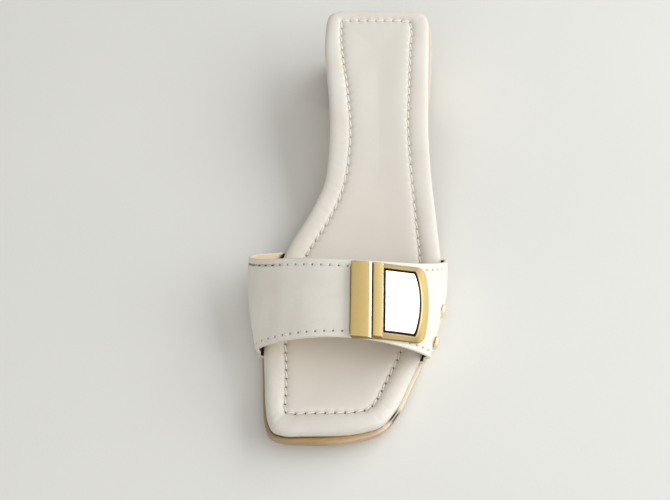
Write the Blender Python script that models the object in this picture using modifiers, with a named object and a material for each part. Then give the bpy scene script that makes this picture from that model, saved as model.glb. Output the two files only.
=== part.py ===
"""Open-toe, open-back mule for the left foot: a wide one-piece leather band with a
two-bar metal buckle over a padded footbed, on a leather sole with a low block heel.

The shape is worked out in millimetres. x runs to the outer (lateral) side, y from the
toe line back to the heel, z up from the floor. Everything hangs on one empty, which
puts the middle of the shoe's box over the origin, and MM turns millimetres into metres.
"""
from functools import lru_cache

import bpy
import bmesh
import numpy as np
from mathutils import Vector

MM = 0.001

# Where the middle of the shoe's box lies, across and along
CENTRE = (-4.344, 123.469)

# Footbed outline, once round from the inner heel corner past the toe. A corner row
# ends one side and starts the next: inner side, toe, outer side, heel.
OUTLINE = [
    # x, y, corner
    (-29.1, 245.0, True),
    (-30.6, 241.0, False),
    (-30.8, 235.5, False),
    (-30.2, 222.0, False),
    (-27.5, 206.0, False),
    (-23.8, 184.0, False),
    (-21.7, 163.0, False),
    (-22.5, 143.0, False),
    (-27.6, 129.0, False),
    (-36.0, 112.0, False),
    (-42.3, 94.0, False),
    (-45.2, 72.0, False),
    (-44.2, 48.0, False),
    (-41.2, 28.0, False),
    (-38.3, 11.0, False),
    (-36.6, 4.5, False),
    (-33.4, -0.8, True),
    (-28.0, -2.5, False),
    (-19.0, -2.2, False),
    (10.2, 3.0, False),
    (19.6, 8.0, True),
    (26.0, 17.4, False),
    (32.4, 34.9, False),
    (40.3, 60.0, False),
    (44.7, 84.0, False),
    (44.3, 105.0, False),
    (40.8, 125.0, False),
    (35.1, 153.0, False),
    (31.7, 176.0, False),
    (29.8, 205.0, False),
    (27.9, 238.0, False),
    (27.3, 244.6, False),
    (25.4, 249.0, True),
    (21.0, 251.2, False),
    (14.0, 251.1, False),
    (-18.0, 248.5, False),
    (-25.2, 247.5, False),
]

# The sole's underside, seen from the side
TOE_SPRING = 6.3
TREAD_FRONT = 60.0
TREAD_BACK = 95.0
HEEL_BREAST = 203.0
SHANK_END = 195.0
HEEL_SEAT_HEIGHT = 28.8
HEEL_SEAT_SLOPE = np.tan(np.radians(5.0))

# Outsole: thick at the toe and tread, thinner from the waist back
SOLE_THICK = 5.0
SOLE_THIN = 3.5
THINNING = (80.0, 150.0)

# How far the outsole stands out past the footbed, inner and outer side
LEDGE = [
    # y, inner, outer
    (0.0, 1.6, 1.6),
    (45.0, 0.9, 1.6),
    (110.0, -0.3, 0.4),
    (190.0, -0.6, 0.6),
    (215.0, -0.6, 2.0),
    (240.0, -0.6, 1.8),
    (252.0, -0.4, -0.4),
]

# Heel block under the back of the sole, with its rubber top piece on the floor. The
# block's foot draws in on the inner side and stands straight on the outer side.
TOP_PIECE = 5.5
INNER_TAPER = 2.6
BREAST_RAKE = 5.0

# Padded footbed
FOOTBED_THICK = 7.2
FOOTBED_DISH = 0.8
RECESS_DEPTH = 2.4
RIM_RADIUS = 3.0

# Band over the foot: its outer face at three stations, the front edge, the middle and
# the back edge.
# Heights are above the outsole's top face. The lean is how far the crest stands
# forward of the base, and the early share is how much of it comes low down.
BAND = {
    "inner_base_y": (42.0, 73.6, 105.2),
    "outer_base_y": (47.0, 78.0, 109.0),
    "inner_bulge_x": (-47.4, -54.3, -57.0),
    "inner_bulge_height": (10.0, 14.5, 19.5),
    "outer_bulge_x": (41.6, 46.0, 47.0),
    "outer_bulge_height": (10.0, 12.0, 14.0),
    "crest_x": (1.0, -0.5, -2.0),
    "crest_height": (34.2, 40.0, 45.0),
    "inner_lean": (1.0, 14.2, 27.0),
    "outer_lean": (4.0, 15.5, 27.0),
    "inner_early": (0.0, 0.21, 0.31),
    "outer_early": (0.0, 0.03, 0.06),
}
WALL = 1.8
WALL_CLEARANCE = 1.5
BAND_MARGIN = 10.5
BAND_BEND = 2.2
BAND_RISE = 6.0
ARCH_POWER = 0.7

# Gap left between neighbours that touch on the real shoe
GAP = 0.3

# Buckle on the band's outer face: a D-shaped frame with two raised bars across its
# start and a polished panel set into its far end. Across is measured round the arch
# from its crest, along is the share of the band from its front edge (0) to its back
# edge (1). The frame's two long edges are given where it starts and where it ends.
FRAME_THICK = 1.5
FRAME_ACROSS = (-0.7, 43.0)
FRAME_FRONT = (-0.02, 0.093)
FRAME_BACK = (0.978, 0.93)
FRAME_START_CORNER = 1.6
FRAME_BOW = 3.0
FRAME_CORNER = 3.6
FRAME_EDGE = 0.4
WINDOW_ACROSS = (15.9, 37.4)
WINDOW_FRONT = (0.112, 0.15)
WINDOW_BACK = (0.892, 0.872)
WINDOW_BOW = 3.2
WINDOW_CORNER = 0.4
PANEL_GAP = 0.45
PANEL_GAP_SHARE = 0.012
PANEL_THICK = 1.6
BAR_THICK = 1.3
BAR_EDGE = 0.45
BARS = {
    # name: across, along
    "buckle_wide_bar": ((-0.3, 9.45), (0.012, 0.96)),
    "buckle_narrow_bar": ((10.15, 15.3), (0.04, 0.955)),
}

# Domed studs on the outer side of the band, near the sole
STUD_RADIUS = 3.7
STUD_DOME = 1.5
STUD_SIDE = 0.3
STUD_STATIONS = {"stud_front": 0.155, "stud_rear": 0.48}
STUD_HEIGHT = 10.5
STUD_STANDOFF = 0.45

# Mesh steps: along and across the sole, and along the band
SOLE_STEPS = 40
CROSS_STEPS = 8
HEEL_STEPS = 10
BAND_STEPS = 9
BAR_STEPS = 9


def clear_scene():
    for item in list(bpy.data.objects):
        bpy.data.objects.remove(item)


def make_collection(name):
    collection = bpy.data.collections.new(name)
    bpy.context.scene.collection.children.link(collection)
    return collection


def make_material(name, color, roughness, metallic=0.0):
    material = bpy.data.materials.new(name)
    material.use_nodes = True
    shader = material.node_tree.nodes["Principled BSDF"]
    shader.inputs["Base Color"].default_value = (*color, 1.0)
    shader.inputs["Roughness"].default_value = roughness
    shader.inputs["Metallic"].default_value = metallic
    return material


# ---------------------------------------------------------------- side profile

def ease(t):
    return t * t * (3.0 - 2.0 * t)


def underside(y):
    """Height of the sole's underside at y: toe spring, flat tread, shank, heel seat."""
    y = np.asarray(y, float)
    spring = TOE_SPRING * np.clip(1.0 - y / TREAD_FRONT, 0.0, None) ** 2
    run = SHANK_END - TREAD_BACK
    t = np.clip((y - TREAD_BACK) / run, 0.0, 1.0)
    shank = ease(t) * HEEL_SEAT_HEIGHT + (t ** 3 - t ** 2) * run * HEEL_SEAT_SLOPE
    return spring + shank + np.clip(y - SHANK_END, 0.0, None) * HEEL_SEAT_SLOPE


def sole_top(y):
    """Height of the outsole's top face at y."""
    start, end = THINNING
    t = np.clip((np.asarray(y, float) - start) / (end - start), 0.0, 1.0)
    return underside(y) + SOLE_THICK - (SOLE_THICK - SOLE_THIN) * ease(t)


# ---------------------------------------------------------------- outline

def smooth_loop(points, steps=24):
    """A closed curve through the points, with the given number of steps to each."""
    here = np.array(points, float)
    following = np.roll(here, -1, axis=0)
    length = np.linalg.norm(following - here, axis=1)[:, None]
    heading = (following - here) / length
    before = np.roll(length, 1, axis=0)
    tangent = (heading * before + np.roll(heading, 1, axis=0) * length) / (length + before)
    leave = (tangent * length)[:, None]
    arrive = (np.roll(tangent, -1, axis=0) * length)[:, None]
    t = np.linspace(0.0, 1.0, steps, endpoint=False)[None, :, None]
    curve = here[:, None] * (1.0 - ease(t)) + following[:, None] * ease(t)
    curve = curve + leave * (t ** 3 - 2.0 * t ** 2 + t) + arrive * (t ** 3 - t ** 2)
    return curve.reshape(-1, 2)


def footbed_loop():
    return smooth_loop([row[:2] for row in OUTLINE])


def widened(loop, amount):
    """The loop moved outward along its normals by the amount at each point."""
    run = np.roll(loop, -1, axis=0) - np.roll(loop, 1, axis=0)
    normal = np.stack([run[:, 1], -run[:, 0]], axis=1)
    normal /= np.linalg.norm(normal, axis=1)[:, None]
    return loop + normal * np.reshape(amount, (-1, 1))


def sole_loop(taper=0.0):
    """The outsole's outline: the footbed's, moved out by the ledge of each side. The
    taper draws its inner side in."""
    loop = footbed_loop()
    rows = np.array(LEDGE)
    inner = np.interp(loop[:, 1], rows[:, 0], rows[:, 1]) - taper
    outer = np.interp(loop[:, 1], rows[:, 0], rows[:, 2])
    share = ease(np.clip(loop[:, 0] / 20.0 + 0.5, 0.0, 1.0))
    return widened(loop, inner + (outer - inner) * share)


def spread(count, crowd=0.55):
    """Shares from 0 to 1, closer together at both ends, where the corners are."""
    t = np.linspace(0.0, 1.0, count + 1)
    return t * (1.0 - crowd) + 0.5 * (1.0 - np.cos(np.pi * t)) * crowd


def resample(points, shares):
    """Points at the given shares of a path's length."""
    step = np.linalg.norm(np.diff(points, axis=0), axis=1)
    travelled = np.concatenate([[0.0], np.cumsum(step)])
    at = np.asarray(shares) * travelled[-1]
    columns = [np.interp(at, travelled, points[:, k]) for k in range(points.shape[1])]
    return np.stack(columns, axis=1)


def sides_of(loop):
    """The loop cut at its corner rows: inner side, toe, outer side and heel."""
    steps = len(loop) // len(OUTLINE)
    cuts = [k * steps for k, row in enumerate(OUTLINE) if row[2]]
    cuts.append(cuts[0] + len(loop))
    closed = np.concatenate([loop, loop, loop[:1]])
    return [closed[a:b + 1] for a, b in zip(cuts, cuts[1:])]


def patch(inner, toe, outer, heel):
    """Grid of points filling the outline between four sides (a Coons patch)."""
    u = np.linspace(0.0, 1.0, len(inner))[:, None, None]
    v = np.linspace(0.0, 1.0, len(toe))[None, :, None]
    along = (1.0 - v) * inner[:, None] + v * outer[:, None]
    across = (1.0 - u) * heel[None] + u * toe[None]
    start = (1.0 - v) * heel[0] + v * heel[-1]
    end = (1.0 - v) * toe[0] + v * toe[-1]
    return along + across - (1.0 - u) * start - u * end


def whole_patch(loop):
    inner, toe, outer, heel = sides_of(loop)
    return patch(
        resample(inner, spread(SOLE_STEPS)),
        resample(toe, spread(CROSS_STEPS)),
        resample(outer[::-1], spread(SOLE_STEPS)),
        resample(heel[::-1], spread(CROSS_STEPS)),
    )


def heel_patch(loop, breast):
    """Grid over the part of the outline behind the line y = breast."""
    inner, _, outer, heel = sides_of(loop)
    inner = inner[inner[:, 1] >= breast]
    outer = outer[::-1][outer[::-1][:, 1] >= breast]
    front = np.linspace(inner[-1], outer[-1], CROSS_STEPS + 1)
    return patch(
        resample(inner, spread(HEEL_STEPS)),
        front,
        resample(outer, spread(HEEL_STEPS)),
        resample(heel[::-1], spread(CROSS_STEPS)),
    )


def raised(flat, height):
    """A flat grid given its heights."""
    z = np.broadcast_to(height, flat.shape[:2])
    return np.concatenate([flat, z[..., None]], axis=2)


# ---------------------------------------------------------------- mesh building

def add_object(name, mesh, collection, parent, material=None):
    item = bpy.data.objects.new(name, mesh)
    item.parent = parent
    collection.objects.link(item)
    if material is not None:
        mesh.materials.append(material)
    return item


def grid_faces(rows, columns, first=0, close_rows=False, close_columns=False):
    faces = []
    for i in range(rows if close_rows else rows - 1):
        for j in range(columns if close_columns else columns - 1):
            a, b = i, (i + 1) % rows
            c, d = j, (j + 1) % columns
            corners = (a * columns + c, a * columns + d, b * columns + d, b * columns + c)
            faces.append(tuple(first + k for k in corners))
    return faces


def mesh_from(name, points, faces):
    """A mesh from points in millimetres, welded and with its faces turned outward."""
    mesh = bpy.data.meshes.new(name)
    flat = np.asarray(points, float).reshape(-1, 3) * MM
    mesh.from_pydata(flat.tolist(), [], faces)
    work = bmesh.new()
    work.from_mesh(mesh)
    bmesh.ops.remove_doubles(work, verts=work.verts, dist=0.00001)
    bmesh.ops.recalc_face_normals(work, faces=work.faces)
    work.to_mesh(mesh)
    work.free()
    return mesh


def border(grid):
    """The outer loop of a grid of points, once round."""
    return np.concatenate([grid[0], grid[1:, -1], grid[-1, -2::-1], grid[-2:0:-1, 0]])


def between(name, low, high):
    """A closed block between two grids of the same size, one over the other."""
    rows, columns = low.shape[:2]
    count = rows * columns
    faces = grid_faces(rows, columns) + grid_faces(rows, columns, first=count)
    rim = border(np.arange(count).reshape(rows, columns, 1))[:, 0]
    for a, b in zip(rim, np.roll(rim, -1)):
        faces.append((int(a), int(b), int(b) + count, int(a) + count))
    return mesh_from(name, [*low.reshape(-1, 3), *high.reshape(-1, 3)], faces)


def shade_round(mesh, angle=40.0):
    mesh.shade_smooth()
    mesh.set_sharp_from_angle(angle=np.radians(angle))


def add_bevel(item, width, segments, angle=50.0):
    bevel = item.modifiers.new("rounded edges", "BEVEL")
    bevel.width = width * MM
    bevel.segments = segments
    bevel.limit_method = "ANGLE"
    bevel.angle_limit = np.radians(angle)


# ---------------------------------------------------------------- sole and heel

def make_outsole(collection, parent, material):
    flat = whole_patch(sole_loop())
    low = raised(flat, underside(flat[..., 1]))
    high = raised(flat, sole_top(flat[..., 1]))
    mesh = between("outsole", low, high)
    shade_round(mesh)
    return add_object("outsole", mesh, collection, parent, material)


def make_heel(collection, parent, material):
    """Block from the sole's underside down to the top piece, tapered on its inner side."""
    top = heel_patch(sole_loop(), HEEL_BREAST)
    foot = heel_patch(sole_loop(INNER_TAPER), HEEL_BREAST + BREAST_RAKE)
    low = raised(foot, TOP_PIECE + GAP)
    high = raised(top, underside(top[..., 1]) - GAP)
    mesh = between("heel_block", low, high)
    shade_round(mesh)
    return add_object("heel_block", mesh, collection, parent, material)


def make_top_piece(collection, parent, material):
    foot = heel_patch(sole_loop(INNER_TAPER), HEEL_BREAST + BREAST_RAKE)
    mesh = between("heel_top_piece", raised(foot, 0.0), raised(foot, TOP_PIECE))
    shade_round(mesh)
    return add_object("heel_top_piece", mesh, collection, parent, material)


def make_footbed(collection, parent, material, recesses):
    """Padded insole with a rounded rim, let in below for the ends of the band."""
    flat = whole_patch(footbed_loop())
    base = sole_top(flat[..., 1])
    v = np.linspace(0.0, 1.0, CROSS_STEPS + 1)[None, :]
    dish = FOOTBED_DISH * np.sin(np.pi * v) ** 2
    low = raised(flat, base + GAP)
    high = raised(flat, base + GAP + FOOTBED_THICK - dish)
    mesh = between("footbed", low, high)
    shade_round(mesh)
    item = add_object("footbed", mesh, collection, parent, material)
    add_bevel(item, RIM_RADIUS, 3)
    for recess in recesses:
        cut = item.modifiers.new(recess.name, "BOOLEAN")
        cut.operation = "DIFFERENCE"
        cut.solver = "EXACT"
        cut.object = recess
    return item


# ---------------------------------------------------------------- band

@lru_cache(maxsize=1)
def footbed_edges():
    inner, _, outer, _ = sides_of(footbed_loop())
    return inner[::-1], outer


def edge_x(y, side):
    """Footbed's edge at y: side is -1 for the inner side, 1 for the outer side."""
    edge = footbed_edges()[0 if side < 0 else 1]
    return np.interp(y, edge[:, 1], edge[:, 0])


def band_row(t):
    """The band table's values at a station, on the smooth curve through its columns."""
    shares = ((1.0 - t) * (1.0 - 2.0 * t), 4.0 * t * (1.0 - t), t * (2.0 * t - 1.0))
    return {key: np.dot(shares, values) for key, values in BAND.items()}


def band_y(row, share, height):
    """Where the band's face stands along the foot, at a height over the sole. The
    share runs from 0 on the inner side to 1 on the outer side."""
    def mixed(key):
        return row["inner_" + key] * (1.0 - share) + row["outer_" + key] * share

    start = GAP + BAND_BEND
    climb = np.clip((height - start) / (row["crest_height"] - start), 0.0, 1.0)
    early = mixed("early") * 5.66 * climb * (1.0 - climb) ** 1.6
    return mixed("base_y") - mixed("lean") * climb * (1.0 + early)


def half_section(row, side, margin=2, bend=4, flare=5, arch=11):
    """One half of the band's outer face across the foot, from its hidden end under
    the footbed, round the bend at the footbed's edge and up to the crest."""
    name = "inner" if side < 0 else "outer"
    share = 0.0 if side < 0 else 1.0
    bulge = row[name + "_bulge_x"]
    bulge_height = row[name + "_bulge_height"]
    points = []

    def add(inset, height, flared=0.0):
        y = band_y(row, share, height)
        foot = edge_x(y, side) + side * (WALL + WALL_CLEARANCE - inset)
        points.append((foot + (bulge - foot) * flared, y, height))

    for k in range(margin):
        add(BAND_BEND + (BAND_MARGIN - BAND_BEND) * (1.0 - k / margin), GAP)
    for angle in np.linspace(0.0, 0.5 * np.pi, bend + 1):
        add(BAND_BEND * (1.0 - np.sin(angle)), GAP + BAND_BEND * (1.0 - np.cos(angle)))
    for t in np.linspace(0.0, 1.0, flare + 1):
        add(0.0, BAND_RISE + (bulge_height - BAND_RISE) * t, ease(t))
    for angle in np.linspace(0.0, 0.5 * np.pi, arch + 1)[1:]:
        out = np.cos(angle)
        x = row["crest_x"] + (bulge - row["crest_x"]) * out
        rise = np.cos(0.5 * np.pi * out) ** ARCH_POWER
        height = bulge_height + (row["crest_height"] - bulge_height) * rise
        width = row["outer_bulge_x"] - row["inner_bulge_x"]
        points.append((x, band_y(row, (x - row["inner_bulge_x"]) / width, height), height))
    return points


def band_section(station, **counts):
    """The band's outer face across the foot at one station, as points in space."""
    row = band_row(station)
    points = half_section(row, -1, **counts) + half_section(row, 1, **counts)[-2::-1]
    x, y, height = np.array(points).T
    return np.stack([x, y, sole_top(y) + height], axis=1)


def make_upper(collection, parent, material):
    """The one-piece band: an open sheet given its wall by Solidify, on its inside."""
    sheet = [band_section(t) for t in np.linspace(0.0, 1.0, BAND_STEPS + 1)]
    mesh = mesh_from("upper", sheet, grid_faces(len(sheet), len(sheet[0])))
    crest = max(mesh.polygons, key=lambda face: face.center.z)
    if crest.normal.z < 0.0:
        mesh.flip_normals()
    shade_round(mesh)
    item = add_object("upper", mesh, collection, parent, material)
    wall = item.modifiers.new("leather wall", "SOLIDIFY")
    wall.thickness = WALL * MM
    wall.offset = -1.0
    wall.use_even_offset = True
    return item


def make_recess(side, collection, parent):
    """Cutter for the step under the footbed's edge that takes one end of the band."""
    name = "inner" if side < 0 else "outer"
    room = 1.0
    ends = [BAND[name + "_base_y"][k] for k in (0, 2)]
    along, across = np.meshgrid(
        np.linspace(ends[0] - room, ends[1] + room, 2 * BAND_STEPS),
        np.array([WALL - BAND_MARGIN - room, 4.0]),
        indexing="ij",
    )
    flat = np.stack([edge_x(along, side) + side * across, along], axis=2)
    top = sole_top(along)
    mesh = between(name + "_recess", raised(flat, top - room), raised(flat, top + RECESS_DEPTH))
    item = add_object(name + "_recess", mesh, collection, parent)
    item.hide_render = True
    item.display_type = "WIRE"
    return item


# ---------------------------------------------------------------- buckle

@lru_cache(maxsize=1)
def band_field():
    """The band's outer face as an even grid: stations, distances from the crest round
    the arch, and the points there."""
    stations = np.linspace(0.0, 1.0, 41)
    reach = np.linspace(-75.0, 75.0, 151)
    rows = []
    for station in stations:
        section = band_section(station, flare=12, arch=60)
        step = np.linalg.norm(np.diff(section, axis=0), axis=1)
        travelled = np.concatenate([[0.0], np.cumsum(step)])
        at = travelled[len(section) // 2] + reach
        rows.append([np.interp(at, travelled, section[:, k]) for k in range(3)])
    return stations, reach, np.array(rows).transpose(0, 2, 1)


def on_band(across, along):
    """Points on the band's outer face."""
    stations, reach, field = band_field()
    i = np.clip(along, 0.0, 1.0) * (len(stations) - 1)
    j = (across - reach[0]) / (reach[1] - reach[0])
    i0 = np.minimum(i.astype(int), len(stations) - 2)
    j0 = np.minimum(j.astype(int), len(reach) - 2)
    di, dj = (i - i0)[..., None], (j - j0)[..., None]
    near = field[i0, j0] * (1.0 - dj) + field[i0, j0 + 1] * dj
    far = field[i0 + 1, j0] * (1.0 - dj) + field[i0 + 1, j0 + 1] * dj
    return near * (1.0 - di) + far * di


def band_axes(across, along):
    """Unit directions on the band: toward its back edge, and straight out of it."""
    inside = np.clip(along, 0.03, 0.97)
    backward = on_band(across, inside + 0.03) - on_band(across, inside - 0.03)
    sideways = on_band(across + 1.5, along) - on_band(across - 1.5, along)
    outward = np.cross(sideways, backward)
    backward /= np.linalg.norm(backward, axis=-1, keepdims=True)
    outward /= np.linalg.norm(outward, axis=-1, keepdims=True)
    return backward, outward


def over_band(across, along, height):
    """Points at a height over the band's outer face."""
    _, outward = band_axes(across, along)
    return on_band(across, along) + outward * height


def d_shape(start, end, front, back, bow, corner, start_corner=0.0, steps=(11, 17)):
    """Grid over a D: nearly square at its start, bowed and rounded at its end."""
    u = np.linspace(0.0, 1.0, steps[0])[:, None]
    v = np.sin(np.linspace(-0.5 * np.pi, 0.5 * np.pi, steps[1]))[None, :]
    begin = start + start_corner * v ** 16
    reach = end - bow * v ** 2 - corner * v ** 16
    across = begin + (reach - begin) * u
    slide = (across - start) / (end - start)
    low = front[0] + (front[1] - front[0]) * slide
    high = back[0] + (back[1] - back[0]) * slide
    return across, low + (high - low) * (0.5 + 0.5 * v)


def block_on_band(name, grid, low, high):
    """A closed block over the band's face between two heights."""
    mesh = between(name, over_band(*grid, low), over_band(*grid, high))
    shade_round(mesh)
    return mesh


def window(gaps):
    """Shape of the frame's window, drawn in by a number of panel gaps."""
    inset = PANEL_GAP * gaps
    share = PANEL_GAP_SHARE * gaps
    return d_shape(
        WINDOW_ACROSS[0] + inset,
        WINDOW_ACROSS[1] - inset,
        [value + share for value in WINDOW_FRONT],
        [value - share for value in WINDOW_BACK],
        WINDOW_BOW,
        WINDOW_CORNER,
    )


def make_window_cutter(collection, parent):
    mesh = block_on_band("frame_window", window(0.0), -GAP, 2.0 * FRAME_THICK)
    item = add_object("frame_window", mesh, collection, parent)
    item.hide_render = True
    item.display_type = "WIRE"
    return item


def make_frame(collection, parent, material, cutter):
    """D-shaped metal frame bent to the band's arch, with a window for the panel."""
    grid = d_shape(
        *FRAME_ACROSS, FRAME_FRONT, FRAME_BACK, FRAME_BOW, FRAME_CORNER, FRAME_START_CORNER
    )
    mesh = block_on_band("buckle_frame", grid, GAP, GAP + FRAME_THICK)
    item = add_object("buckle_frame", mesh, collection, parent, material)
    add_bevel(item, FRAME_EDGE, 2)
    cut = item.modifiers.new("window", "BOOLEAN")
    cut.operation = "DIFFERENCE"
    cut.solver = "EXACT"
    cut.object = cutter
    return item


def make_panel(collection, parent, material):
    """Polished plate set into the frame's window."""
    mesh = block_on_band("buckle_panel", window(1.0), GAP, GAP + PANEL_THICK)
    item = add_object("buckle_panel", mesh, collection, parent, material)
    add_bevel(item, 0.5 * FRAME_EDGE, 1)
    return item


def make_bar(name, across, along, collection, parent, material):
    """Raised bar lying on the frame, from edge to edge of the band."""
    grid = np.meshgrid(np.linspace(*across, 4), np.linspace(*along, BAR_STEPS), indexing="ij")
    foot = 2.0 * GAP + FRAME_THICK
    mesh = block_on_band(name, grid, foot, foot + BAR_THICK)
    item = add_object(name, mesh, collection, parent, material)
    add_bevel(item, BAR_EDGE, 2)
    return item


# ---------------------------------------------------------------- studs

def make_stud(name, station, collection, parent, material):
    """Low dome turned round its own axis, standing off the side of the band."""
    mesh = bpy.data.meshes.new(name)
    profile = [(0.0, STUD_SIDE + STUD_DOME)]
    for angle in np.radians(np.linspace(15.0, 90.0, 6)):
        profile.append((STUD_RADIUS * np.sin(angle), STUD_SIDE + STUD_DOME * np.cos(angle)))
    profile += [(STUD_RADIUS, 0.0), (0.0, 0.0)]
    points = [(r * MM, 0.0, z * MM) for r, z in profile]
    mesh.from_pydata(points, [(k, k + 1) for k in range(len(points) - 1)], [])
    section = band_section(station, flare=12, arch=60)
    outer = section[:len(section) // 2:-1]
    height = outer[:, 2] - sole_top(outer[:, 1])
    foot = np.array([np.interp(STUD_HEIGHT, height, outer[:, k]) for k in range(3)])
    _, reach, field = band_field()
    row = field[round(station * (len(field) - 1))]
    across = reach[np.argmin(np.linalg.norm(row - foot, axis=1))]
    _, outward = band_axes(np.array([across]), np.array([station]))
    item = add_object(name, mesh, collection, parent, material)
    item.location = (foot + outward[0] * STUD_STANDOFF) * MM
    item.rotation_euler = Vector(outward[0]).to_track_quat("Z", "X").to_euler()
    turn = item.modifiers.new("turned", "SCREW")
    turn.steps = 20
    turn.render_steps = 20
    turn.use_merge_vertices = True
    turn.merge_threshold = 0.00002
    return item


def main():
    clear_scene()
    shoe = make_collection("block_heel_mule")
    cutters = make_collection("cutters")
    origin = bpy.data.objects.new("shoe_origin", None)
    origin.location = (-CENTRE[0] * MM, -CENTRE[1] * MM, 0.0)
    shoe.objects.link(origin)
    leather = make_material("cream_leather", (0.80, 0.75, 0.68), 0.5)
    tan = make_material("tan_sole_leather", (0.55, 0.38, 0.22), 0.55)
    rubber = make_material("brown_rubber", (0.16, 0.11, 0.08), 0.8)
    brass = make_material("brushed_brass", (0.78, 0.6, 0.3), 0.3, 1.0)
    recesses = [make_recess(side, cutters, origin) for side in (-1, 1)]
    window_cutter = make_window_cutter(cutters, origin)
    make_outsole(shoe, origin, tan)
    make_heel(shoe, origin, tan)
    make_top_piece(shoe, origin, rubber)
    make_footbed(shoe, origin, leather, recesses)
    make_upper(shoe, origin, leather)
    make_frame(shoe, origin, brass, window_cutter)
    make_panel(shoe, origin, brass)
    for name, (across, along) in BARS.items():
        make_bar(name, across, along, shoe, origin, brass)
    for name, station in STUD_STATIONS.items():
        make_stud(name, station, shoe, origin, brass)


main()
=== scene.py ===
from functools import lru_cache

import bmesh
import bpy
import numpy as np
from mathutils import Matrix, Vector
from mathutils.kdtree import KDTree


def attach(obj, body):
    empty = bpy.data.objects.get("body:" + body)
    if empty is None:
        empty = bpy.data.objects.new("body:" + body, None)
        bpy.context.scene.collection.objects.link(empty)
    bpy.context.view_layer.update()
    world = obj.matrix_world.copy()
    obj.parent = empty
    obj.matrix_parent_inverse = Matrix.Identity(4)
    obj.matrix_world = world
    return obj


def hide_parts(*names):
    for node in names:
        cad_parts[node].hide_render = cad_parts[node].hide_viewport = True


# Looks of a low block-heel mule for the left foot. Shapes are worked out in the last's
# own millimetres: x runs to the outer side, y from the toe line back to the heel and z
# up from the floor. They reach the frame's metres when a piece is made.

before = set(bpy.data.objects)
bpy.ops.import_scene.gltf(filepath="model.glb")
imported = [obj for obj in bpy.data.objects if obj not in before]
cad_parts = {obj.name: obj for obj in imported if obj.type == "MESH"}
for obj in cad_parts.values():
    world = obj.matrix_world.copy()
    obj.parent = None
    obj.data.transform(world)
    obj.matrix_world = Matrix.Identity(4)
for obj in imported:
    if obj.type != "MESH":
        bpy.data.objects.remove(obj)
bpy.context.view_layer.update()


# ------------------------------------------------------------------------- outsole
# One thick piece of tan sole leather, cemented under the footbed. Its edge is trimmed
# and waxed, so the hide's layers show as fine lines, and a narrow ledge of its top face
# stands out past the footbed round the toe and the outer side.

MM = 0.001

# The middle of the shoe's box, which lies over the frame's origin
CENTRE = (-4.344, 123.469)

# Footbed outline, once round from the inner heel corner past the toe: four sides of x, y
# points. Each side starts at its corner and ends where the next one starts.
OUTLINE = [
    # inner side
    [(-29.1, 245.0), (-30.6, 241.0), (-30.8, 235.5), (-30.2, 222.0), (-27.5, 206.0),
     (-23.8, 184.0), (-21.7, 163.0), (-22.5, 143.0), (-27.6, 129.0), (-36.0, 112.0),
     (-42.3, 94.0), (-45.2, 72.0), (-44.2, 48.0), (-41.2, 28.0), (-38.3, 11.0), (-36.6, 4.5)],
    # toe
    [(-33.4, -0.8), (-28.0, -2.5), (-19.0, -2.2), (10.2, 3.0)],
    # outer side
    [(19.6, 8.0), (26.0, 17.4), (32.4, 34.9), (40.3, 60.0), (44.7, 84.0), (44.3, 105.0),
     (40.8, 125.0), (35.1, 153.0), (31.7, 176.0), (29.8, 205.0), (27.9, 238.0),
     (27.3, 244.6)],
    # heel
    [(25.4, 249.0), (21.0, 251.2), (14.0, 251.1), (-18.0, 248.5), (-25.2, 247.5)],
]

# The sole's underside, seen from the side
TOE_SPRING = 6.3
TREAD_FRONT = 60.0
TREAD_BACK = 95.0
SHANK_END = 195.0
HEEL_SEAT_HEIGHT = 28.8
HEEL_SEAT_SLOPE = np.tan(np.radians(5.0))

# The sole's thickness at the toe and tread, and from the waist back
SOLE_THICK = 5.0
SOLE_THIN = 3.5
THINNING = (80.0, 150.0)

# How far the sole stands out past the footbed, inner and outer side, and where across
# the foot the one turns into the other
LEDGE = [
    # y, inner, outer
    (0.0, 1.6, 1.6),
    (45.0, 0.9, 1.6),
    (110.0, -0.3, 0.4),
    (190.0, -0.6, 0.6),
    (215.0, -0.6, 2.0),
    (240.0, -0.6, 1.8),
    (252.0, -0.4, -0.4),
]
LEDGE_TURN = (-10.0, 10.0)

# The trimmed edge, from its lower rounding to its upper one: how far in from the
# outline, the share of the thickness, and millimetres added to that
SOLE_EDGE = [
    # inset, share, added
    (1.30, 0.0, 0.00),
    (0.70, 0.0, 0.06),
    (0.25, 0.0, 0.28),
    (0.02, 0.0, 0.75),
    (0.00, 0.30, 0.00),
    (0.00, 0.355, 0.00),
    (0.09, 0.37, 0.00),
    (0.00, 0.385, 0.00),
    (0.00, 0.58, 0.00),
    (0.07, 0.595, 0.00),
    (0.00, 0.61, 0.00),
    (0.02, 1.0, -0.75),
    (0.12, 1.0, -0.34),
    (0.38, 1.0, -0.09),
    (0.90, 1.0, 0.00),
]

# Steps along each long side and each short one, and about the way round in millimetres
SOLE_STEPS = (150, 44)
SOLE_ROUND = 620.0

# Rings on the ledge close to the footbed: how far out from it, the least way in from
# the ring before, and how dark the line of cement and painted shade in the crease is there
CEMENT_AND_SHADE_RINGS = [
    # out, least, dark
    (0.32, 0.08, 0.0),
    (0.12, 0.08, 0.7),
    (-0.10, 0.08, 1.0),
    (-0.60, 0.30, 1.0),
]

# Where, going to the outer side, the cement and the painted shade of the inner side and
# its crease end and the leather is painted paler as painted light, and where along the
# foot the edge of the seat turns paler
SHADE_AND_CEMENT_END = (-14.0, 5.0)
LEDGE_LIT_SIDE = (13.0, 27.0)
SEAT_PALER = (190.0, 204.0)

# How much the footbed's wrap is drawn back from its outline at the toe: the most, the
# middle and reach across the foot, and where along it the pull ends
TOE_PULL = 1.2
TOE_PULL_MIDDLE = -6.0
TOE_PULL_REACH = 19.0
TOE_PULL_END = (3.0, 9.0)

# Where the ledge keeps its golden stain
GOLD_MIDDLE = (-10.0, -1.0)
GOLD_REACH = 19.0

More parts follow.
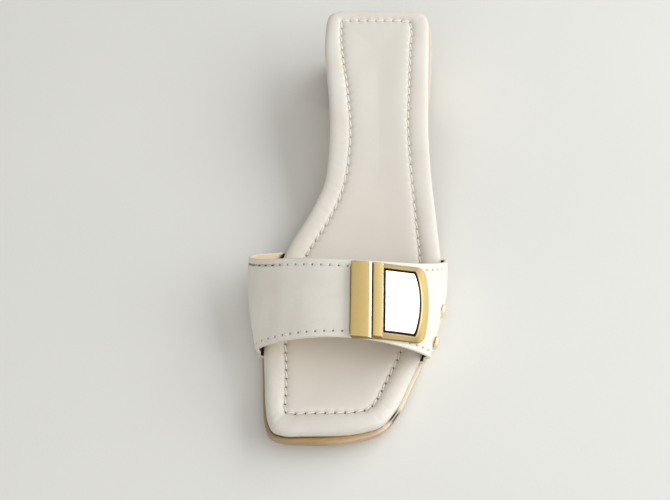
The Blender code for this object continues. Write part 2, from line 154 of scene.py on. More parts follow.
# Dark rubs round the toe's outer corner: the middle, how far the rub runs either way, and
# where it lies across the edge, from so many millimetres in from the edge (or, below
# zero, down its side) to so many
RUBS = [
    # x, y, reach, from, to
    (25.3, 15.6, 4.8, 1.1, 2.2),
    (26.6, 15.2, 4.2, -1.1, 0.35),
    (24.9, 11.8, 3.6, -2.0, -0.9),
]


def ease(t):
    return t * t * (3.0 - 2.0 * t)


def rising(value, start, end):
    """0 before the start, 1 after the end, and a smooth rise between them."""
    return ease(np.clip((value - start) / (end - start), 0.0, 1.0))


def underside(y):
    """Height of the sole's underside at y: toe spring, flat tread, shank, heel seat."""
    y = np.asarray(y, float)
    spring = TOE_SPRING * np.clip(1.0 - y / TREAD_FRONT, 0.0, None) ** 2
    run = SHANK_END - TREAD_BACK
    t = np.clip((y - TREAD_BACK) / run, 0.0, 1.0)
    shank = ease(t) * HEEL_SEAT_HEIGHT + (t ** 3 - t ** 2) * run * HEEL_SEAT_SLOPE
    return spring + shank + np.clip(y - SHANK_END, 0.0, None) * HEEL_SEAT_SLOPE


def sole_top(y):
    """Height of the sole's top face at y."""
    return underside(y) + SOLE_THICK - (SOLE_THICK - SOLE_THIN) * rising(y, *THINNING)


def smooth_loop(sides, steps=24):
    """A closed curve through the sides' points, with so many steps from each to the next."""
    here = np.concatenate(sides)
    following = np.roll(here, -1, axis=0)
    length = np.linalg.norm(following - here, axis=1)[:, None]
    heading = (following - here) / length
    before = np.roll(length, 1, axis=0)
    tangent = (heading * before + np.roll(heading, 1, axis=0) * length) / (length + before)
    leave = (tangent * length)[:, None]
    arrive = (np.roll(tangent, -1, axis=0) * length)[:, None]
    t = np.linspace(0.0, 1.0, steps, endpoint=False)[None, :, None]
    curve = here[:, None] * (1.0 - ease(t)) + following[:, None] * ease(t)
    curve = curve + leave * (t ** 3 - 2.0 * t ** 2 + t) + arrive * (t ** 3 - t ** 2)
    return curve.reshape(-1, 2)


def widened(loop, amount):
    """The loop moved outward along its normals by the amount at each point."""
    run = np.roll(loop, -1, axis=0) - np.roll(loop, 1, axis=0)
    normal = np.stack([run[:, 1], -run[:, 0]], axis=1)
    normal /= np.linalg.norm(normal, axis=1)[:, None]
    return loop + normal * np.reshape(amount, (-1, 1))


def toe_pull(loop):
    """How far back the wrap is drawn at each point of the loop."""
    pull = np.exp(-((loop[:, 0] - TOE_PULL_MIDDLE) / TOE_PULL_REACH) ** 2)
    return TOE_PULL * pull * (1.0 - rising(loop[:, 1], *TOE_PULL_END))


def ledge_width(loop, taper=0.0):
    """How far the sole stands out past the footbed's outline, less on its inner side by
    the taper."""
    rows = np.array(LEDGE)
    inner = np.interp(loop[:, 1], rows[:, 0], rows[:, 1]) - taper
    outer = np.interp(loop[:, 1], rows[:, 0], rows[:, 2])
    return inner + (outer - inner) * rising(loop[:, 0], *LEDGE_TURN)


def sides_of(loop, sides=OUTLINE):
    """The loop cut at its corners: inner side, toe, outer side and heel."""
    counts = np.cumsum([0] + [len(side) for side in sides])
    cuts = counts * (len(loop) // counts[-1])
    closed = np.concatenate([loop, loop[:1]])
    return [closed[a:b + 1] for a, b in zip(cuts, cuts[1:])]


def travelled(points):
    """Distance from a path's start at each of its points."""
    step = np.linalg.norm(np.diff(points, axis=0), axis=1)
    return np.concatenate([[0.0], np.cumsum(step)])


def resample(points, shares):
    """Points at the given shares of a path's length."""
    run = travelled(points)
    at = np.asarray(shares) * run[-1]
    return np.stack([np.interp(at, run, column) for column in points.T], axis=1)


def spread(count, crowd=0.55):
    """Shares from 0 to 1, closer together at both ends, where the corners are."""
    t = np.linspace(0.0, 1.0, count + 1)
    return t * (1.0 - crowd) + 0.5 * (1.0 - np.cos(np.pi * t)) * crowd


def ring(sides):
    """The four sides joined into one closed row of points."""
    return np.concatenate([side[:-1] for side in sides])


def patch(sides):
    """Grid of points filling the space between the four sides (a Coons patch)."""
    inner, toe, outer, heel = sides[0], sides[1], sides[2][::-1], sides[3][::-1]
    u = np.linspace(0.0, 1.0, len(inner))[:, None, None]
    v = np.linspace(0.0, 1.0, len(toe))[None, :, None]
    along = (1.0 - v) * inner[:, None] + v * outer[:, None]
    across = (1.0 - u) * heel[None] + u * toe[None]
    start = (1.0 - v) * heel[0] + v * heel[-1]
    end = (1.0 - v) * toe[0] + v * toe[-1]
    return along + across - (1.0 - u) * start - u * end


def raised(flat, height):
    """Flat points given their heights."""
    z = np.broadcast_to(height, flat.shape[:-1])
    return np.concatenate([flat, z[..., None]], axis=-1)


class Skin:
    """The closed surface of one piece in the making: sheets of points that share their
    edges, and marks, the values that the piece's finish reads at each point."""

    def __init__(self):
        self.points, self.faces, self.slots, self.marks = [], [], [], []

    def add(self, points, faces, slots, marks):
        """Adds points, and faces that number them from 0."""
        first = sum(len(block) for block in self.points)
        self.points.append(points)
        self.faces += [[first + k for k in face] for face in faces]
        self.slots += list(slots)
        self.marks.append(marks)

    def cap(self, rim):
        """Closes the hole inside a rim with one face."""
        self.add(rim, [range(len(rim))], [0], {})

    def sheet(self, grid, slot=0, closed=False, **marks):
        """Adds a grid of points. A closed one joins its last column to its first. The
        slot is one finish for the sheet, or one for each row of faces."""
        rows, columns = grid.shape[:2]
        number = np.arange(rows * columns).reshape(rows, columns)
        if closed:
            number = np.concatenate([number, number[:, :1]], axis=1)
        corners = [number[:-1, :-1], number[:-1, 1:], number[1:, 1:], number[1:, :-1]]
        faces = np.stack(corners, axis=-1)
        slots = np.broadcast_to(np.reshape(slot, (-1, 1)), faces.shape[:2])
        spread_marks = {
            name: np.broadcast_to(value, (rows, columns)).ravel() for name, value in marks.items()
        }
        self.add(grid.reshape(-1, 3), faces.reshape(-1, 4).tolist(), slots.ravel(), spread_marks)

    def made(self, name, *finishes, sharp=40.0):
        """The finished piece: welded, its faces turned outward, and smooth but for the
        folds sharper than the angle."""
        mesh = bpy.data.meshes.new(name)
        points = (np.concatenate(self.points) - [*CENTRE, 0.0]) * MM
        mesh.from_pydata(points.tolist(), [], self.faces)
        for mark in sorted({key for marks in self.marks for key in marks}):
            values = [
                marks.get(mark, np.zeros(len(block)))
                for marks, block in zip(self.marks, self.points)
            ]
            layer = mesh.attributes.new(mark, "FLOAT", "POINT")
            layer.data.foreach_set("value", np.concatenate(values).astype(np.float32))
        mesh.polygons.foreach_set("material_index", np.array(self.slots, np.int32))
        work = bmesh.new()
        work.from_mesh(mesh)
        bmesh.ops.remove_doubles(work, verts=work.verts, dist=0.000001)
        bmesh.ops.recalc_face_normals(work, faces=work.faces)
        work.to_mesh(mesh)
        work.free()
        mesh.shade_smooth()
        mesh.set_sharp_from_angle(angle=np.radians(sharp))
        for finish in finishes:
            mesh.materials.append(finish.material)
        piece = bpy.data.objects.new(name, mesh)
        bpy.context.scene.collection.objects.link(piece)
        return piece


class Wire:
    """One output of a finish's nodes. Sums written on it add the Math nodes."""

    def __init__(self, finish, socket):
        self.finish, self.socket = finish, socket

    def __add__(self, other):
        return self.finish.math("ADD", self, other)

    def __radd__(self, other):
        return self.finish.math("ADD", other, self)

    def __sub__(self, other):
        return self.finish.math("SUBTRACT", self, other)

    def __rsub__(self, other):
        return self.finish.math("SUBTRACT", other, self)

    def __mul__(self, other):
        return self.finish.math("MULTIPLY", self, other)

    def __rmul__(self, other):
        return self.finish.math("MULTIPLY", other, self)


class Finish:
    """A material in the making: one shader and the nodes that feed it."""

    def __init__(self, name, **sockets):
        self.material = bpy.data.materials.new(name)
        self.material.use_nodes = True
        self.tree = self.material.node_tree
        self.shader = self.tree.nodes["Principled BSDF"]
        self.give(**sockets)

    def give(self, **sockets):
        """Sets the shader's own sockets, named with _ for a space, to values or wires."""
        for name, value in sockets.items():
            self.feed(self.shader.inputs[name.replace("_", " ")], value)

    def feed(self, socket, value):
        if isinstance(value, Wire):
            self.tree.links.new(value.socket, socket)
        else:
            socket.default_value = value

    def node(self, kind, settings, sockets, output=0):
        """The output of a new node. Its settings are set first, then its sockets."""
        node = self.tree.nodes.new(kind)
        for name, value in settings.items():
            setattr(node, name, value)
        for key, value in sockets.items():
            self.feed(node.inputs[key], value)
        return Wire(self, node.outputs[output])

    def math(self, operation, first, second):
        return self.node("ShaderNodeMath", {"operation": operation}, {0: first, 1: second})

    def mix(self, share, first, second):
        """Colours from the first at a share of 0 to the second at a share of 1."""
        settings = {"data_type": "RGBA"}
        return self.node("ShaderNodeMix", settings, {0: share, 6: first, 7: second}, 2)

    def mark(self, name):
        """A value that the mesh holds at each point."""
        return self.node("ShaderNodeAttribute", {"attribute_name": name}, {}, 2)

    def place(self):
        """Where the point lies on the shoe, in metres."""
        return self.node("ShaderNodeTexCoord", {}, {}, 3)

    def stretched(self, x, y, z):
        """Where the point lies, with each direction scaled."""
        settings = {"operation": "MULTIPLY"}
        return self.node("ShaderNodeVectorMath", settings, {0: self.place(), 1: (x, y, z)})

    def noise(self, size, detail=3.0, roughness=0.55, at=None):
        """Cloudy values from 0 to 1, with clouds of that size in millimetres."""
        sockets = {
            "Vector": at or self.place(),
            "Scale": 1.0 / (size * MM),
            "Detail": detail,
            "Roughness": roughness,
        }
        return self.node("ShaderNodeTexNoise", {}, sockets)

    def step(self, value, start, end):
        """0 before the start, 1 after the end, and a smooth rise between them."""
        settings = {"interpolation_type": "SMOOTHSTEP"}
        return self.node("ShaderNodeMapRange", settings, {0: value, 1: start, 2: end})

    def bump(self, height, depth, under=None):
        """A normal for heights from 0 to 1 that stand for the depth in millimetres."""
        sockets = {"Height": height, "Distance": depth * MM, "Strength": 1.0}
        if under is not None:
            sockets["Normal"] = under
        return self.node("ShaderNodeBump", {}, sockets)


def tint(red, green, blue):
    """A colour from its 0-255 display values."""
    share = np.array([red, green, blue]) / 255.0
    linear = np.where(share > 0.04045, ((share + 0.055) / 1.055) ** 2.4, share / 12.92)
    return (*linear.tolist(), 1.0)


def outsole_skin():
    skin = Skin()
    counts = (spread(SOLE_STEPS[0]), spread(SOLE_STEPS[1])) * 2
    outline = smooth_loop(OUTLINE)
    ledge = ledge_width(outline)

    def drawn(out):
        return [resample(side, at) for side, at in zip(sides_of(widened(outline, out)), counts)]

    rows = [(ledge - inset, share, added, 0.0) for inset, share, added in SOLE_EDGE]
    for out, least, dark in CEMENT_AND_SHADE_RINGS:
        out = np.minimum(rows[-1][0] - least, out - toe_pull(outline))
        rows.append((out, 1.0, 0.0, dark))
    edge = ring(drawn(ledge))
    rings, rises, ways, cement = [], [], [], []
    for out, share, added, dark in rows:
        flat = ring(drawn(out))
        thick = sole_top(flat[:, 1]) - underside(flat[:, 1])
        rises.append(thick * share + added)
        ways.append(np.linalg.norm(flat - edge, axis=1) + rises[-1] - thick)
        rings.append(raised(flat, underside(flat[:, 1]) + rises[-1]))
        cement.append(dark * (1.0 - rising(flat[:, 0], *SHADE_AND_CEMENT_END)))
    bottom, top = patch(drawn(rows[0][0])), patch(drawn(rows[-1][0]))
    rings, rises, ways = np.array(rings), np.array(rises), np.array(ways)
    gold = np.exp(-(np.hypot(*(flat - GOLD_MIDDLE).T) / GOLD_REACH) ** 4)
    rub = np.zeros(rises.shape)
    for x, y, reach, low, high in RUBS:
        level = rising(ways, low - 0.2, low + 0.1) * (1.0 - rising(ways, high, high + 0.3))
        away = np.hypot(rings[..., 0] - x, rings[..., 1] - y) / reach
        rub = np.maximum(rub, level * np.exp(-away ** 4))
    skin.sheet(raised(bottom, underside(bottom[..., 1])), below=1.0)
    skin.sheet(
        rings,
        closed=True,
        rise=rises,
        run=np.linspace(0.0, SOLE_ROUND, len(flat)),
        gold=gold * rising(ways, 0.6, 1.2),
        rub=rub,
        cement=np.array(cement),
        # painted shade and light: the inner side is painted darker, the outer side paler
        inner=1.0 - rising(flat[:, 0], *SHADE_AND_CEMENT_END),
        aged=1.0 - rising(flat[:, 0], *LEDGE_LIT_SIDE),
        seat=rising(flat[:, 1], *SEAT_PALER),
    )
    skin.sheet(raised(top, sole_top(top[..., 1])), rise=SOLE_THICK, cement=1.0)
    return skin


def sole_finish():
    """Natural tan leather: striped along its cut edge, stained gold on the ledge round the
    toe, rubbed dark at the toe's outer corner, dull and scuffed below. Its inner side is
    painted darker as painted shade and its outer side paler as painted light; the line along
    the footbed is cement and painted shade, and the bottom of the inner edge painted shade."""
    finish = Finish("tan_sole_leather", Specular_IOR_Level=0.4)
    rise, run = finish.mark("rise"), finish.mark("run")
    layers = finish.node(
        "ShaderNodeCombineXYZ", {}, {0: run * 0.00004, 1: rise * 0.0011, 2: run * 0.00001}
    )
    stripe = finish.noise(0.55, 4.0, 0.65, at=layers)
    patchy = finish.noise(9.0, 3.0)
    edge = finish.mix(finish.step(stripe, 0.34, 0.66), tint(164, 140, 112), tint(212, 190, 162))
    edge = finish.mix(patchy * 0.4, edge, tint(212, 188, 158))
    # painted shade on the inner side's edge
    edge = finish.mix(finish.mark("inner") * 0.45, edge, tint(150, 128, 102))
    # painted light: the outer side's edge is paler
    edge = finish.mix((1.0 - finish.mark("aged")) * 0.6, edge, tint(234, 220, 200))
    edge = finish.mix(finish.mark("seat") * 0.85, edge, tint(222, 209, 189))
    gold = finish.mix(finish.noise(3.0), tint(190, 150, 92), tint(214, 182, 128))
    ledge = finish.mix(finish.noise(5.0), tint(226, 212, 188), tint(240, 228, 208))
    # painted shade on the ledge away from the outer side
    ledge = finish.mix(finish.mark("aged"), ledge, tint(206, 180, 148))
    # painted shade on the inner side's ledge
    ledge = finish.mix(finish.mark("inner"), ledge, tint(172, 146, 116))
    ledge = finish.mix(finish.mark("gold"), ledge, gold)
    colour = finish.mix(finish.step(rise, 4.2, 4.7), edge, ledge)
    # painted shade along the bottom of the inner side's edge, which faces down
    bottom_shade = finish.step(rise, 1.5, 0.6) * finish.mark("inner")
    colour = finish.mix(bottom_shade * 0.7, colour, tint(112, 100, 78))
    # cement, and painted shade in the crease along the footbed
    colour = finish.mix(finish.mark("cement") * 0.7, colour, tint(104, 80, 54))
    streak = finish.noise(0.7, 4.0, 0.7, at=layers)
    colour = finish.mix(finish.mark("rub") * finish.step(streak, 0.15, 0.45), colour, tint(44, 36, 30))
    grain = finish.noise(0.35, 5.0, 0.6)
    wear_and_shade = finish.noise(1.0, 6.0, 0.7, at=finish.stretched(1.0, 0.12, 1.0))
    natural = finish.mix(patchy, tint(186, 150, 108), tint(206, 174, 132))
    natural = finish.mix(finish.step(wear_and_shade, 0.55, 0.75) * 0.5, natural, tint(120, 92, 66))
    colour = finish.mix(finish.mark("below"), colour, natural)
    bump = finish.bump(stripe, 0.05)
    finish.give(
        Base_Color=colour,
        Roughness=0.42 + grain * 0.25 + finish.mark("below") * 0.2,
        Normal=finish.bump(grain, 0.03, bump),
    )
    return finish


outsole = outsole_skin().made("outsole_leather", sole_finish())
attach(outsole, "root")
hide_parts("outsole")


# ---------------------------------------------------------------------- heel block
# Lifts of sole leather glued in a stack under the seat and sanded smooth, so that each
# lift shows as a band with a fine dark glue line. The block stands straight on the outer
# side and draws in on the inner one; its front, the breast, rakes back to the floor.

# The breast's place at the seat and how far back it stands at the floor, and how far the
# block draws in on its inner side
HEEL_BREAST = 203.0
BREAST_RAKE = 5.0
INNER_TAPER = 2.6

# Heights of the top piece and of one lift, the clearance between pieces, the depth of a
# glue line and the rounding of the block's edges
TOP_PIECE = 5.5
LIFT = 3.4
GAP = 0.3
GLUE_LINE = 0.09
HEEL_EDGE = 0.35

# Steps along each long side and each short one
HEEL_STEPS = (56, 40)


def heel_sides(taper, breast):
    """The sides of the sole's outline behind the breast, which closes them, drawn in on
    the inner side by the taper."""
    loop = smooth_loop(OUTLINE)
    inner, _, outer, heel = sides_of(widened(loop, ledge_width(loop, taper)))
    inner = inner[inner[:, 1] >= breast]
    outer = outer[outer[:, 1] >= breast]
    along, across = (np.linspace(0.0, 1.0, count + 1) for count in HEEL_STEPS)
    front = inner[-1] + (outer[0] - inner[-1]) * across[:, None]
    return [resample(inner, along), front, resample(outer, along), resample(heel, across)]


def stack(low_sides, high_sides, low, high, levels, groove):
    """A closed block between two outlines: the walls stand on the levels (shares of the
    height) and draw in by the groove's depth there."""
    skin = Skin()
    foot, head = ring(low_sides), ring(high_sides)
    foot, head = raised(foot, low(foot[:, 1])), raised(head, high(head[:, 1]))
    walls, heights = [], []
    for level, depth in zip(levels, groove):
        wall = foot + (head - foot) * level
        walls.append(raised(widened(wall[:, :2], -depth), wall[:, 2]))
        heights.append(wall[:, 2])
    bottom, top = patch(low_sides), patch(high_sides)
    skin.sheet(raised(bottom, low(bottom[..., 1])))
    skin.sheet(np.array(walls), closed=True, rise=np.array(heights))
    skin.sheet(raised(top, high(top[..., 1])))
    return skin


def round_edges(piece, width):
    """Rounds a block's own edges, but not the fine grooves in its walls."""
    bevel = piece.modifiers.new("rounded edges", "BEVEL")
    bevel.width = width * MM
    bevel.segments = 3
    bevel.limit_method = "ANGLE"
    bevel.angle_limit = np.radians(50.0)
    bevel.harden_normals = True


def heel_block_skin():
    lifts = round((HEEL_SEAT_HEIGHT - TOP_PIECE) / LIFT)
    levels, groove = [0.0], [0.0]
    for k in range(1, lifts):
        levels += [(k + shift) / lifts for shift in (-0.5, -0.035, 0.0, 0.035)]
        groove += [0.0, 0.0, GLUE_LINE, 0.0]
    return stack(
        heel_sides(INNER_TAPER, HEEL_BREAST + BREAST_RAKE),
        heel_sides(0.0, HEEL_BREAST),
        lambda y: np.full_like(y, TOP_PIECE + GAP),
        lambda y: underside(y) - GAP,
        levels + [1.0],
        groove + [0.0],
    )


def heel_finish():
    """Stacked leather: each lift has its own tone, with fine fibres along it."""
    finish = Finish("stacked_heel_leather", Specular_IOR_Level=0.45)
    lift = finish.math("DIVIDE", finish.mark("rise") - TOP_PIECE, LIFT)
    tone = finish.node(
        "ShaderNodeTexWhiteNoise",
        {"noise_dimensions": "1D"},
        {"W": finish.math("FLOOR", lift, 0.0)},
    )
    fibre = finish.noise(1.1, 5.0, 0.65, at=finish.stretched(0.14, 0.14, 3.0))
    colour = finish.mix(tone * 0.6, tint(232, 216, 191), tint(219, 197, 166))
    colour = finish.mix(finish.step(fibre, 0.35, 0.75) * 0.5, colour, tint(190, 158, 122))
    line = finish.math("PINGPONG", lift, 0.5)
    colour = finish.mix((1.0 - finish.step(line, 0.0, 0.05)) * 0.6, colour, tint(124, 92, 64))
    bump = finish.bump(fibre, 0.04)
    finish.give(
        Base_Color=colour,
        Roughness=0.36 + fibre * 0.22,
        Normal=finish.bump(finish.noise(0.3, 4.0), 0.02, bump),
    )
    return finish


heel_block = heel_block_skin().made("heel_block_lifts", heel_finish())
round_edges(heel_block, HEEL_EDGE)
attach(heel_block, "root")
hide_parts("heel_block")


# ------------------------------------------------------------------ heel top piece
# Moulded rubber lift nailed and glued under the block: the part that wears on the floor.
# Its side has two fine moulded lines and its face a shallow stippled tread.

# Levels of its side, as shares of its height, how deep the side is cut at each, and the
# rounding of its edges
TOP_PIECE_LINES = (0.0, 0.27, 0.32, 0.37, 0.66, 0.71, 0.76, 1.0)
TOP_PIECE_GROOVE = (0.0, 0.0, 0.16, 0.0, 0.0, 0.16, 0.0, 0.0)
TOP_PIECE_EDGE = 0.5


def rubber_finish():
    finish = Finish("brown_heel_rubber", Specular_IOR_Level=0.35)
    stipple = finish.node("ShaderNodeTexVoronoi", {}, {"Vector": finish.place(), "Scale": 900.0})
    dust = finish.step(finish.noise(2.5, 6.0, 0.7), 0.5, 0.72)
    low = 1.0 - finish.step(finish.mark("rise"), 0.3, 2.2)
    colour = finish.mix(finish.noise(1.2), tint(64, 46, 36), tint(84, 62, 48))
    colour = finish.mix(dust * (0.15 + low * 0.5), colour, tint(150, 136, 120))
    finish.give(
        Base_Color=colour,
        Roughness=0.62 + dust * 0.2,
        Normal=finish.bump(stipple, 0.08),
    )
    return finish


top_sides = heel_sides(INNER_TAPER, HEEL_BREAST + BREAST_RAKE)
heel_top_piece = stack(
    top_sides,
    top_sides,
    lambda y: np.zeros_like(y),
    lambda y: np.full_like(y, TOP_PIECE),
    TOP_PIECE_LINES,
    TOP_PIECE_GROOVE,
).made("heel_top_piece_rubber", rubber_finish())
round_edges(heel_top_piece, TOP_PIECE_EDGE)
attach(heel_top_piece, "root")
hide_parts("heel_top_piece")


# ------------------------------------------------------------------------- footbed
# Foam and board wrapped in cream leather. The wrap stands up as a soft round rim, and
# the flat sock in the middle is sewn down to it through both layers, so that each
# needle hole pulls a small pucker and the seam lies in a groove.

# The seam in the same four sides
SEAM = [
    # inner side
    [(-22.3, 240.9), (-22.3, 237.2), (-21.5, 228.0), (-19.0, 214.0), (-15.8, 200.0),
     (-12.9, 184.0), (-11.1, 173.0), (-10.5, 160.0), (-11.2, 146.0), (-13.4, 136.0),
     (-18.5, 123.0), (-24.9, 110.0), (-31.2, 94.0), (-34.4, 74.0), (-33.5, 52.0),
     (-30.9, 34.0), (-29.3, 17.0), (-29.0, 12.2)],
    # toe
    [(-28.2, 9.9), (-25.6, 9.5), (-20.0, 10.2), (-8.0, 11.8), (5.7, 13.7)],
    # outer side
    [(10.6, 15.1), (14.0, 17.8), (16.4, 22.2), (19.6, 31.0), (24.8, 45.4), (29.6, 62.0),
     (33.2, 84.0), (33.0, 104.0), (29.4, 125.0), (24.1, 153.0), (20.5, 176.0),
     (19.3, 199.0), (18.1, 228.0), (17.9, 239.0)],
    # heel
    [(16.6, 243.7), (13.0, 244.1), (0.0, 243.2), (-16.0, 241.8)],
]

# Stitches along each long side and each short one, where along a stitch the points lie,
# and how far from a corner the points start to face the edge squarely
SEAM_STITCHES = (48, 8)
STITCH_PHASES = (0.0, 0.07, 0.16, 0.32, 0.5, 0.68, 0.84, 0.93)
CORNER_REACH = 16.0

# Heights over the sole: the seam, the rim's top at the toe, and the foot of its round,
# where the side falls straight. The rim is lower from the waist back.
SEAM_HEIGHT = 5.7
RIM_TOP = 7.7
RIM_SIDE = 4.2
RIM_EASED = 1.2
RIM_EASING = (95.0, 150.0)

# The rim's crest, as a share of the way to the edge, and how far its side tucks in below
RIM_CREST = 0.5
RIM_TUCK = 0.9

# How far the sock rises from the seam and is dished again: height and reach from the seam
SOCK_RISE = (0.75, 1.8)
SOCK_DISH = (0.5, 3.0, 18.0)

# Rings over the rim, as distances from the seam in millimetres near it and then as
# shares of the way to the edge, and rings down its side
SEAM_RINGS = (0.0, 0.22, 0.45, 0.72, 1.05, 1.5, 2.1, 2.9)
RIM_RINGS = (0.36, 0.44, 0.52, 0.60, 0.68, 0.76, 0.83, 0.89, 0.935, 0.965, 0.985, 0.996)
SIDE_RINGS = (0.0, 0.15, 0.3, 0.45, 0.6, 0.75, 0.88, 1.0)

# The seam's groove, the pucker round each needle hole and its pit: depth and width.
# Each stitch lies askew, from one side of its first hole to the other side of its next.
SEAM_GROOVE = (0.4, 0.62)
SEAM_PUCKER = (0.4, 1.5)
SEAM_PIT = (0.8, 0.4)
SEAM_SKEW = 0.42
THREAD_RINGS = 15

# The width of the painted shade along the seam's groove. From the waist back this painted
# line fades, the painted shade in the pits is paler by the given share and the thread sinks
# deeper.
SEAM_LINE = 0.62
HOLE_PALE = 0.8
HOLE_PALING = (82.0, 130.0)

# Where the ends of the band come out between footbed and sole on either side, and how
# deep and how far in the footbed's underside is let in for them
BAND_BASE = {-1: (42.0, 105.2), 1: (47.0, 109.0)}
RECESS_DEPTH = 2.4
RECESS_REACH = (9.8, 11.4)

# Soft creases of the wrap: where each lies, which way it runs
# (degrees from the outer side toward the heel), its length, width and depth. The ridges
# beside it rise by a share of its depth, so many widths away from its middle.
CREASE_RIDGE = 0.55
CREASE_REACH = 1.9
RIM_CREASES = [
    # x, y, heading, length, width, depth
    (-37.5, 38.0, 150.0, 5.5, 0.9, 0.16),
    (-38.4, 34.0, 158.0, 6.0, 0.8, 0.14),
    (-37.8, 29.5, 165.0, 4.5, 0.7, 0.10),
    (-31.5, 4.0, 235.0, 5.0, 1.0, 0.16),
    (-34.6, 6.2, 215.0, 4.0, 0.8, 0.12),
    (17.4, 11.2, 310.0, 5.0, 1.0, 0.14),
    (21.2, 17.2, 330.0, 4.5, 0.9, 0.12),
    (-16.6, 141.0, 170.0, 5.5, 1.1, 0.14),
    (-16.0, 152.0, 182.0, 6.0, 1.2, 0.15),
    (-16.4, 163.0, 188.0, 5.0, 1.0, 0.12),
    (-22.0, 128.0, 155.0, 5.0, 1.1, 0.12),
    (-26.6, 240.8, 135.0, 4.5, 0.9, 0.14),
    (21.8, 245.6, 45.0, 4.5, 0.9, 0.14),
    (34.6, 118.0, 12.0, 4.5, 1.2, 0.10),
    (31.4, 141.0, 8.0, 4.5, 1.2, 0.10),
]
SOCK_CREASES = [
    # x, y, heading, length, width, depth
    (-2.0, 42.0, 8.0, 22.0, 6.0, 0.16),
    (4.0, 112.0, -6.0, 24.0, 7.0, 0.18),
    (3.0, 148.0, 4.0, 14.0, 6.0, 0.14),
    (2.0, 196.0, 86.0, 26.0, 5.0, 0.14),
    (-8.0, 218.0, 70.0, 12.0, 4.0, 0.08),
]

# Where along the foot the leather is painted darker: a painted shade under the band's
# front, and a little darker at the tip
BAND_SHADE = (36.0, 56.0)
BAND_SHADE_END = (60.0, 75.0)
DARKER_TIP = (2.0, 13.0)


def smoothed(values, reach, **padding):
    """The mean over so many values either way of each."""
    window = np.full(2 * reach + 1, 1.0 / (2 * reach + 1))
    return np.convolve(np.pad(values, reach, **padding), window, "valid")


def matched(edge, seam):
    """Points along one side's edge that face those of its seam squarely, except near the
    corners, where both sides start together."""
    shares = travelled(edge) / travelled(edge)[-1]
    gaps = np.linalg.norm(seam[:, None] - edge[None], axis=2)
    facing = shares[np.argmin(gaps, axis=1)]
    run = travelled(seam)
    facing -= facing[0] * (1.0 - rising(run, 0.0, CORNER_REACH))
    facing += (1.0 - facing[-1]) * (1.0 - rising(run[-1] - run, 0.0, CORNER_REACH))
    soft = smoothed(facing, 9, mode="reflect", reflect_type="odd")
    soft[[0, -1]] = 0.0, 1.0
    return resample(edge, soft)


def rim_height(share, y):
    """Height of the rim over the sole, from the seam (0) out to the edge (1)."""
    top = RIM_TOP - RIM_EASED * rising(y, *RIM_EASING)
    inner = np.clip(1.0 - share / RIM_CREST, 0.0, 1.0)
    outer = np.clip((share - RIM_CREST) / (1.0 - RIM_CREST), 0.0, 1.0)
    fall = 1.0 - np.sqrt(1.0 - outer ** 2.4)
    return top - (top - SEAM_HEIGHT) * inner ** 2.1 - (top - RIM_SIDE) * fall


def footbed_edge_x(y, side):
    edge = sides_of(smooth_loop(OUTLINE))[0 if side < 0 else 2][::side]
    return np.interp(y, edge[:, 1], edge[:, 0])


def band_room(flat):
    """How far the footbed's underside is let in for the band's ends, from 0 to 1."""
    x, y = flat[..., 0], flat[..., 1]
    room = np.zeros_like(x)
    for side, (front, back) in BAND_BASE.items():
        along = rising(y, front - 2.5, front - 0.8) * (1.0 - rising(y, back + 0.8, back + 2.5))
        depth = side * (footbed_edge_x(y, side) - x)
        room = np.maximum(room, along * (1.0 - rising(depth, *RECESS_REACH)))
    return room


def pressed(flat, creases):
    """Height added at flat points by the listed creases, each a hollow with a small
    ridge on either side."""
    height = np.zeros(flat.shape[:-1])
    for x, y, heading, length, width, depth in creases:
        turn = np.radians(heading)
        away = flat - [x, y]
        along = away @ [np.cos(turn), np.sin(turn)] / length
        across = away @ [-np.sin(turn), np.cos(turn)] / width
        ridges = CREASE_RIDGE * np.exp(-(np.abs(across) - CREASE_REACH) ** 2)
        hollow = np.exp(-across ** 2) - ridges
        height -= depth * hollow * np.exp(-(1.6 * along) ** 2)
    return height


def nearest(points, targets):
    """Distance from each point to the closest of the targets."""
    tree = KDTree(len(targets))
    for k, target in enumerate(targets):
        tree.insert(target, k)
    tree.balance()
    flat = points.reshape(-1, points.shape[-1])
    return np.reshape([tree.find(point)[2] for point in flat], points.shape[:-1])


def sewn(to_hole, to_seam, groove, pucker, pit):
    """Height added near a seam by its groove, and by the pucker and pit of each hole."""
    height = groove[0] * np.exp(-(to_seam / groove[1]) ** 2)
    height += pucker[0] * np.exp(-(to_hole / pucker[1]) ** 2)
    return -(height + pit[0] * np.exp(-(to_hole / pit[1]) ** 4))


@lru_cache(maxsize=1)
def seam_sides():
    loops = sides_of(smooth_loop(SEAM), SEAM)
    sides = []
    for side, stitches in zip(loops, SEAM_STITCHES * 2):
        shares = (np.arange(stitches)[:, None] + STITCH_PHASES).ravel() / stitches
        sides.append(resample(side, [*shares, 1.0]))
    return sides


def hole_points():
    """The seam's needle holes, flat."""
    return ring(seam_sides())[::len(STITCH_PHASES)]


def laid(holes, outward, skew, closed=True):
    """The thread's way over the leather: for each stitch, a row of points."""
    ahead = (np.roll(holes, -1, axis=0) - holes)[:len(holes) if closed else -1, None]
    start, up = holes[:len(ahead), None], outward[:len(ahead), None]
    side = np.cross(ahead, up)
    side /= np.linalg.norm(side, axis=-1, keepdims=True)
    u = np.linspace(0.0, 1.0, THREAD_RINGS)[:, None]
    return start + ahead * (0.05 + 0.9 * u) + side * skew * (1.0 - 2.0 * u)


def seam_distances(flat):
    """Distances from flat points to the closest needle hole and the closest thread."""
    at = raised(flat, 0.0)
    holes = raised(hole_points(), 0.0)
    upward = np.broadcast_to([0.0, 0.0, 1.0], holes.shape)
    return nearest(at, holes), nearest(at, laid(holes, upward, SEAM_SKEW).reshape(-1, 3))


def wrap_top(flat, height, to_hole, to_seam):
    """Points at a height over the sole, with the seam sewn in."""
    height = height + sewn(to_hole, to_seam, SEAM_GROOVE, SEAM_PUCKER, SEAM_PIT)
    return raised(flat, height + sole_top(flat[..., 1]))


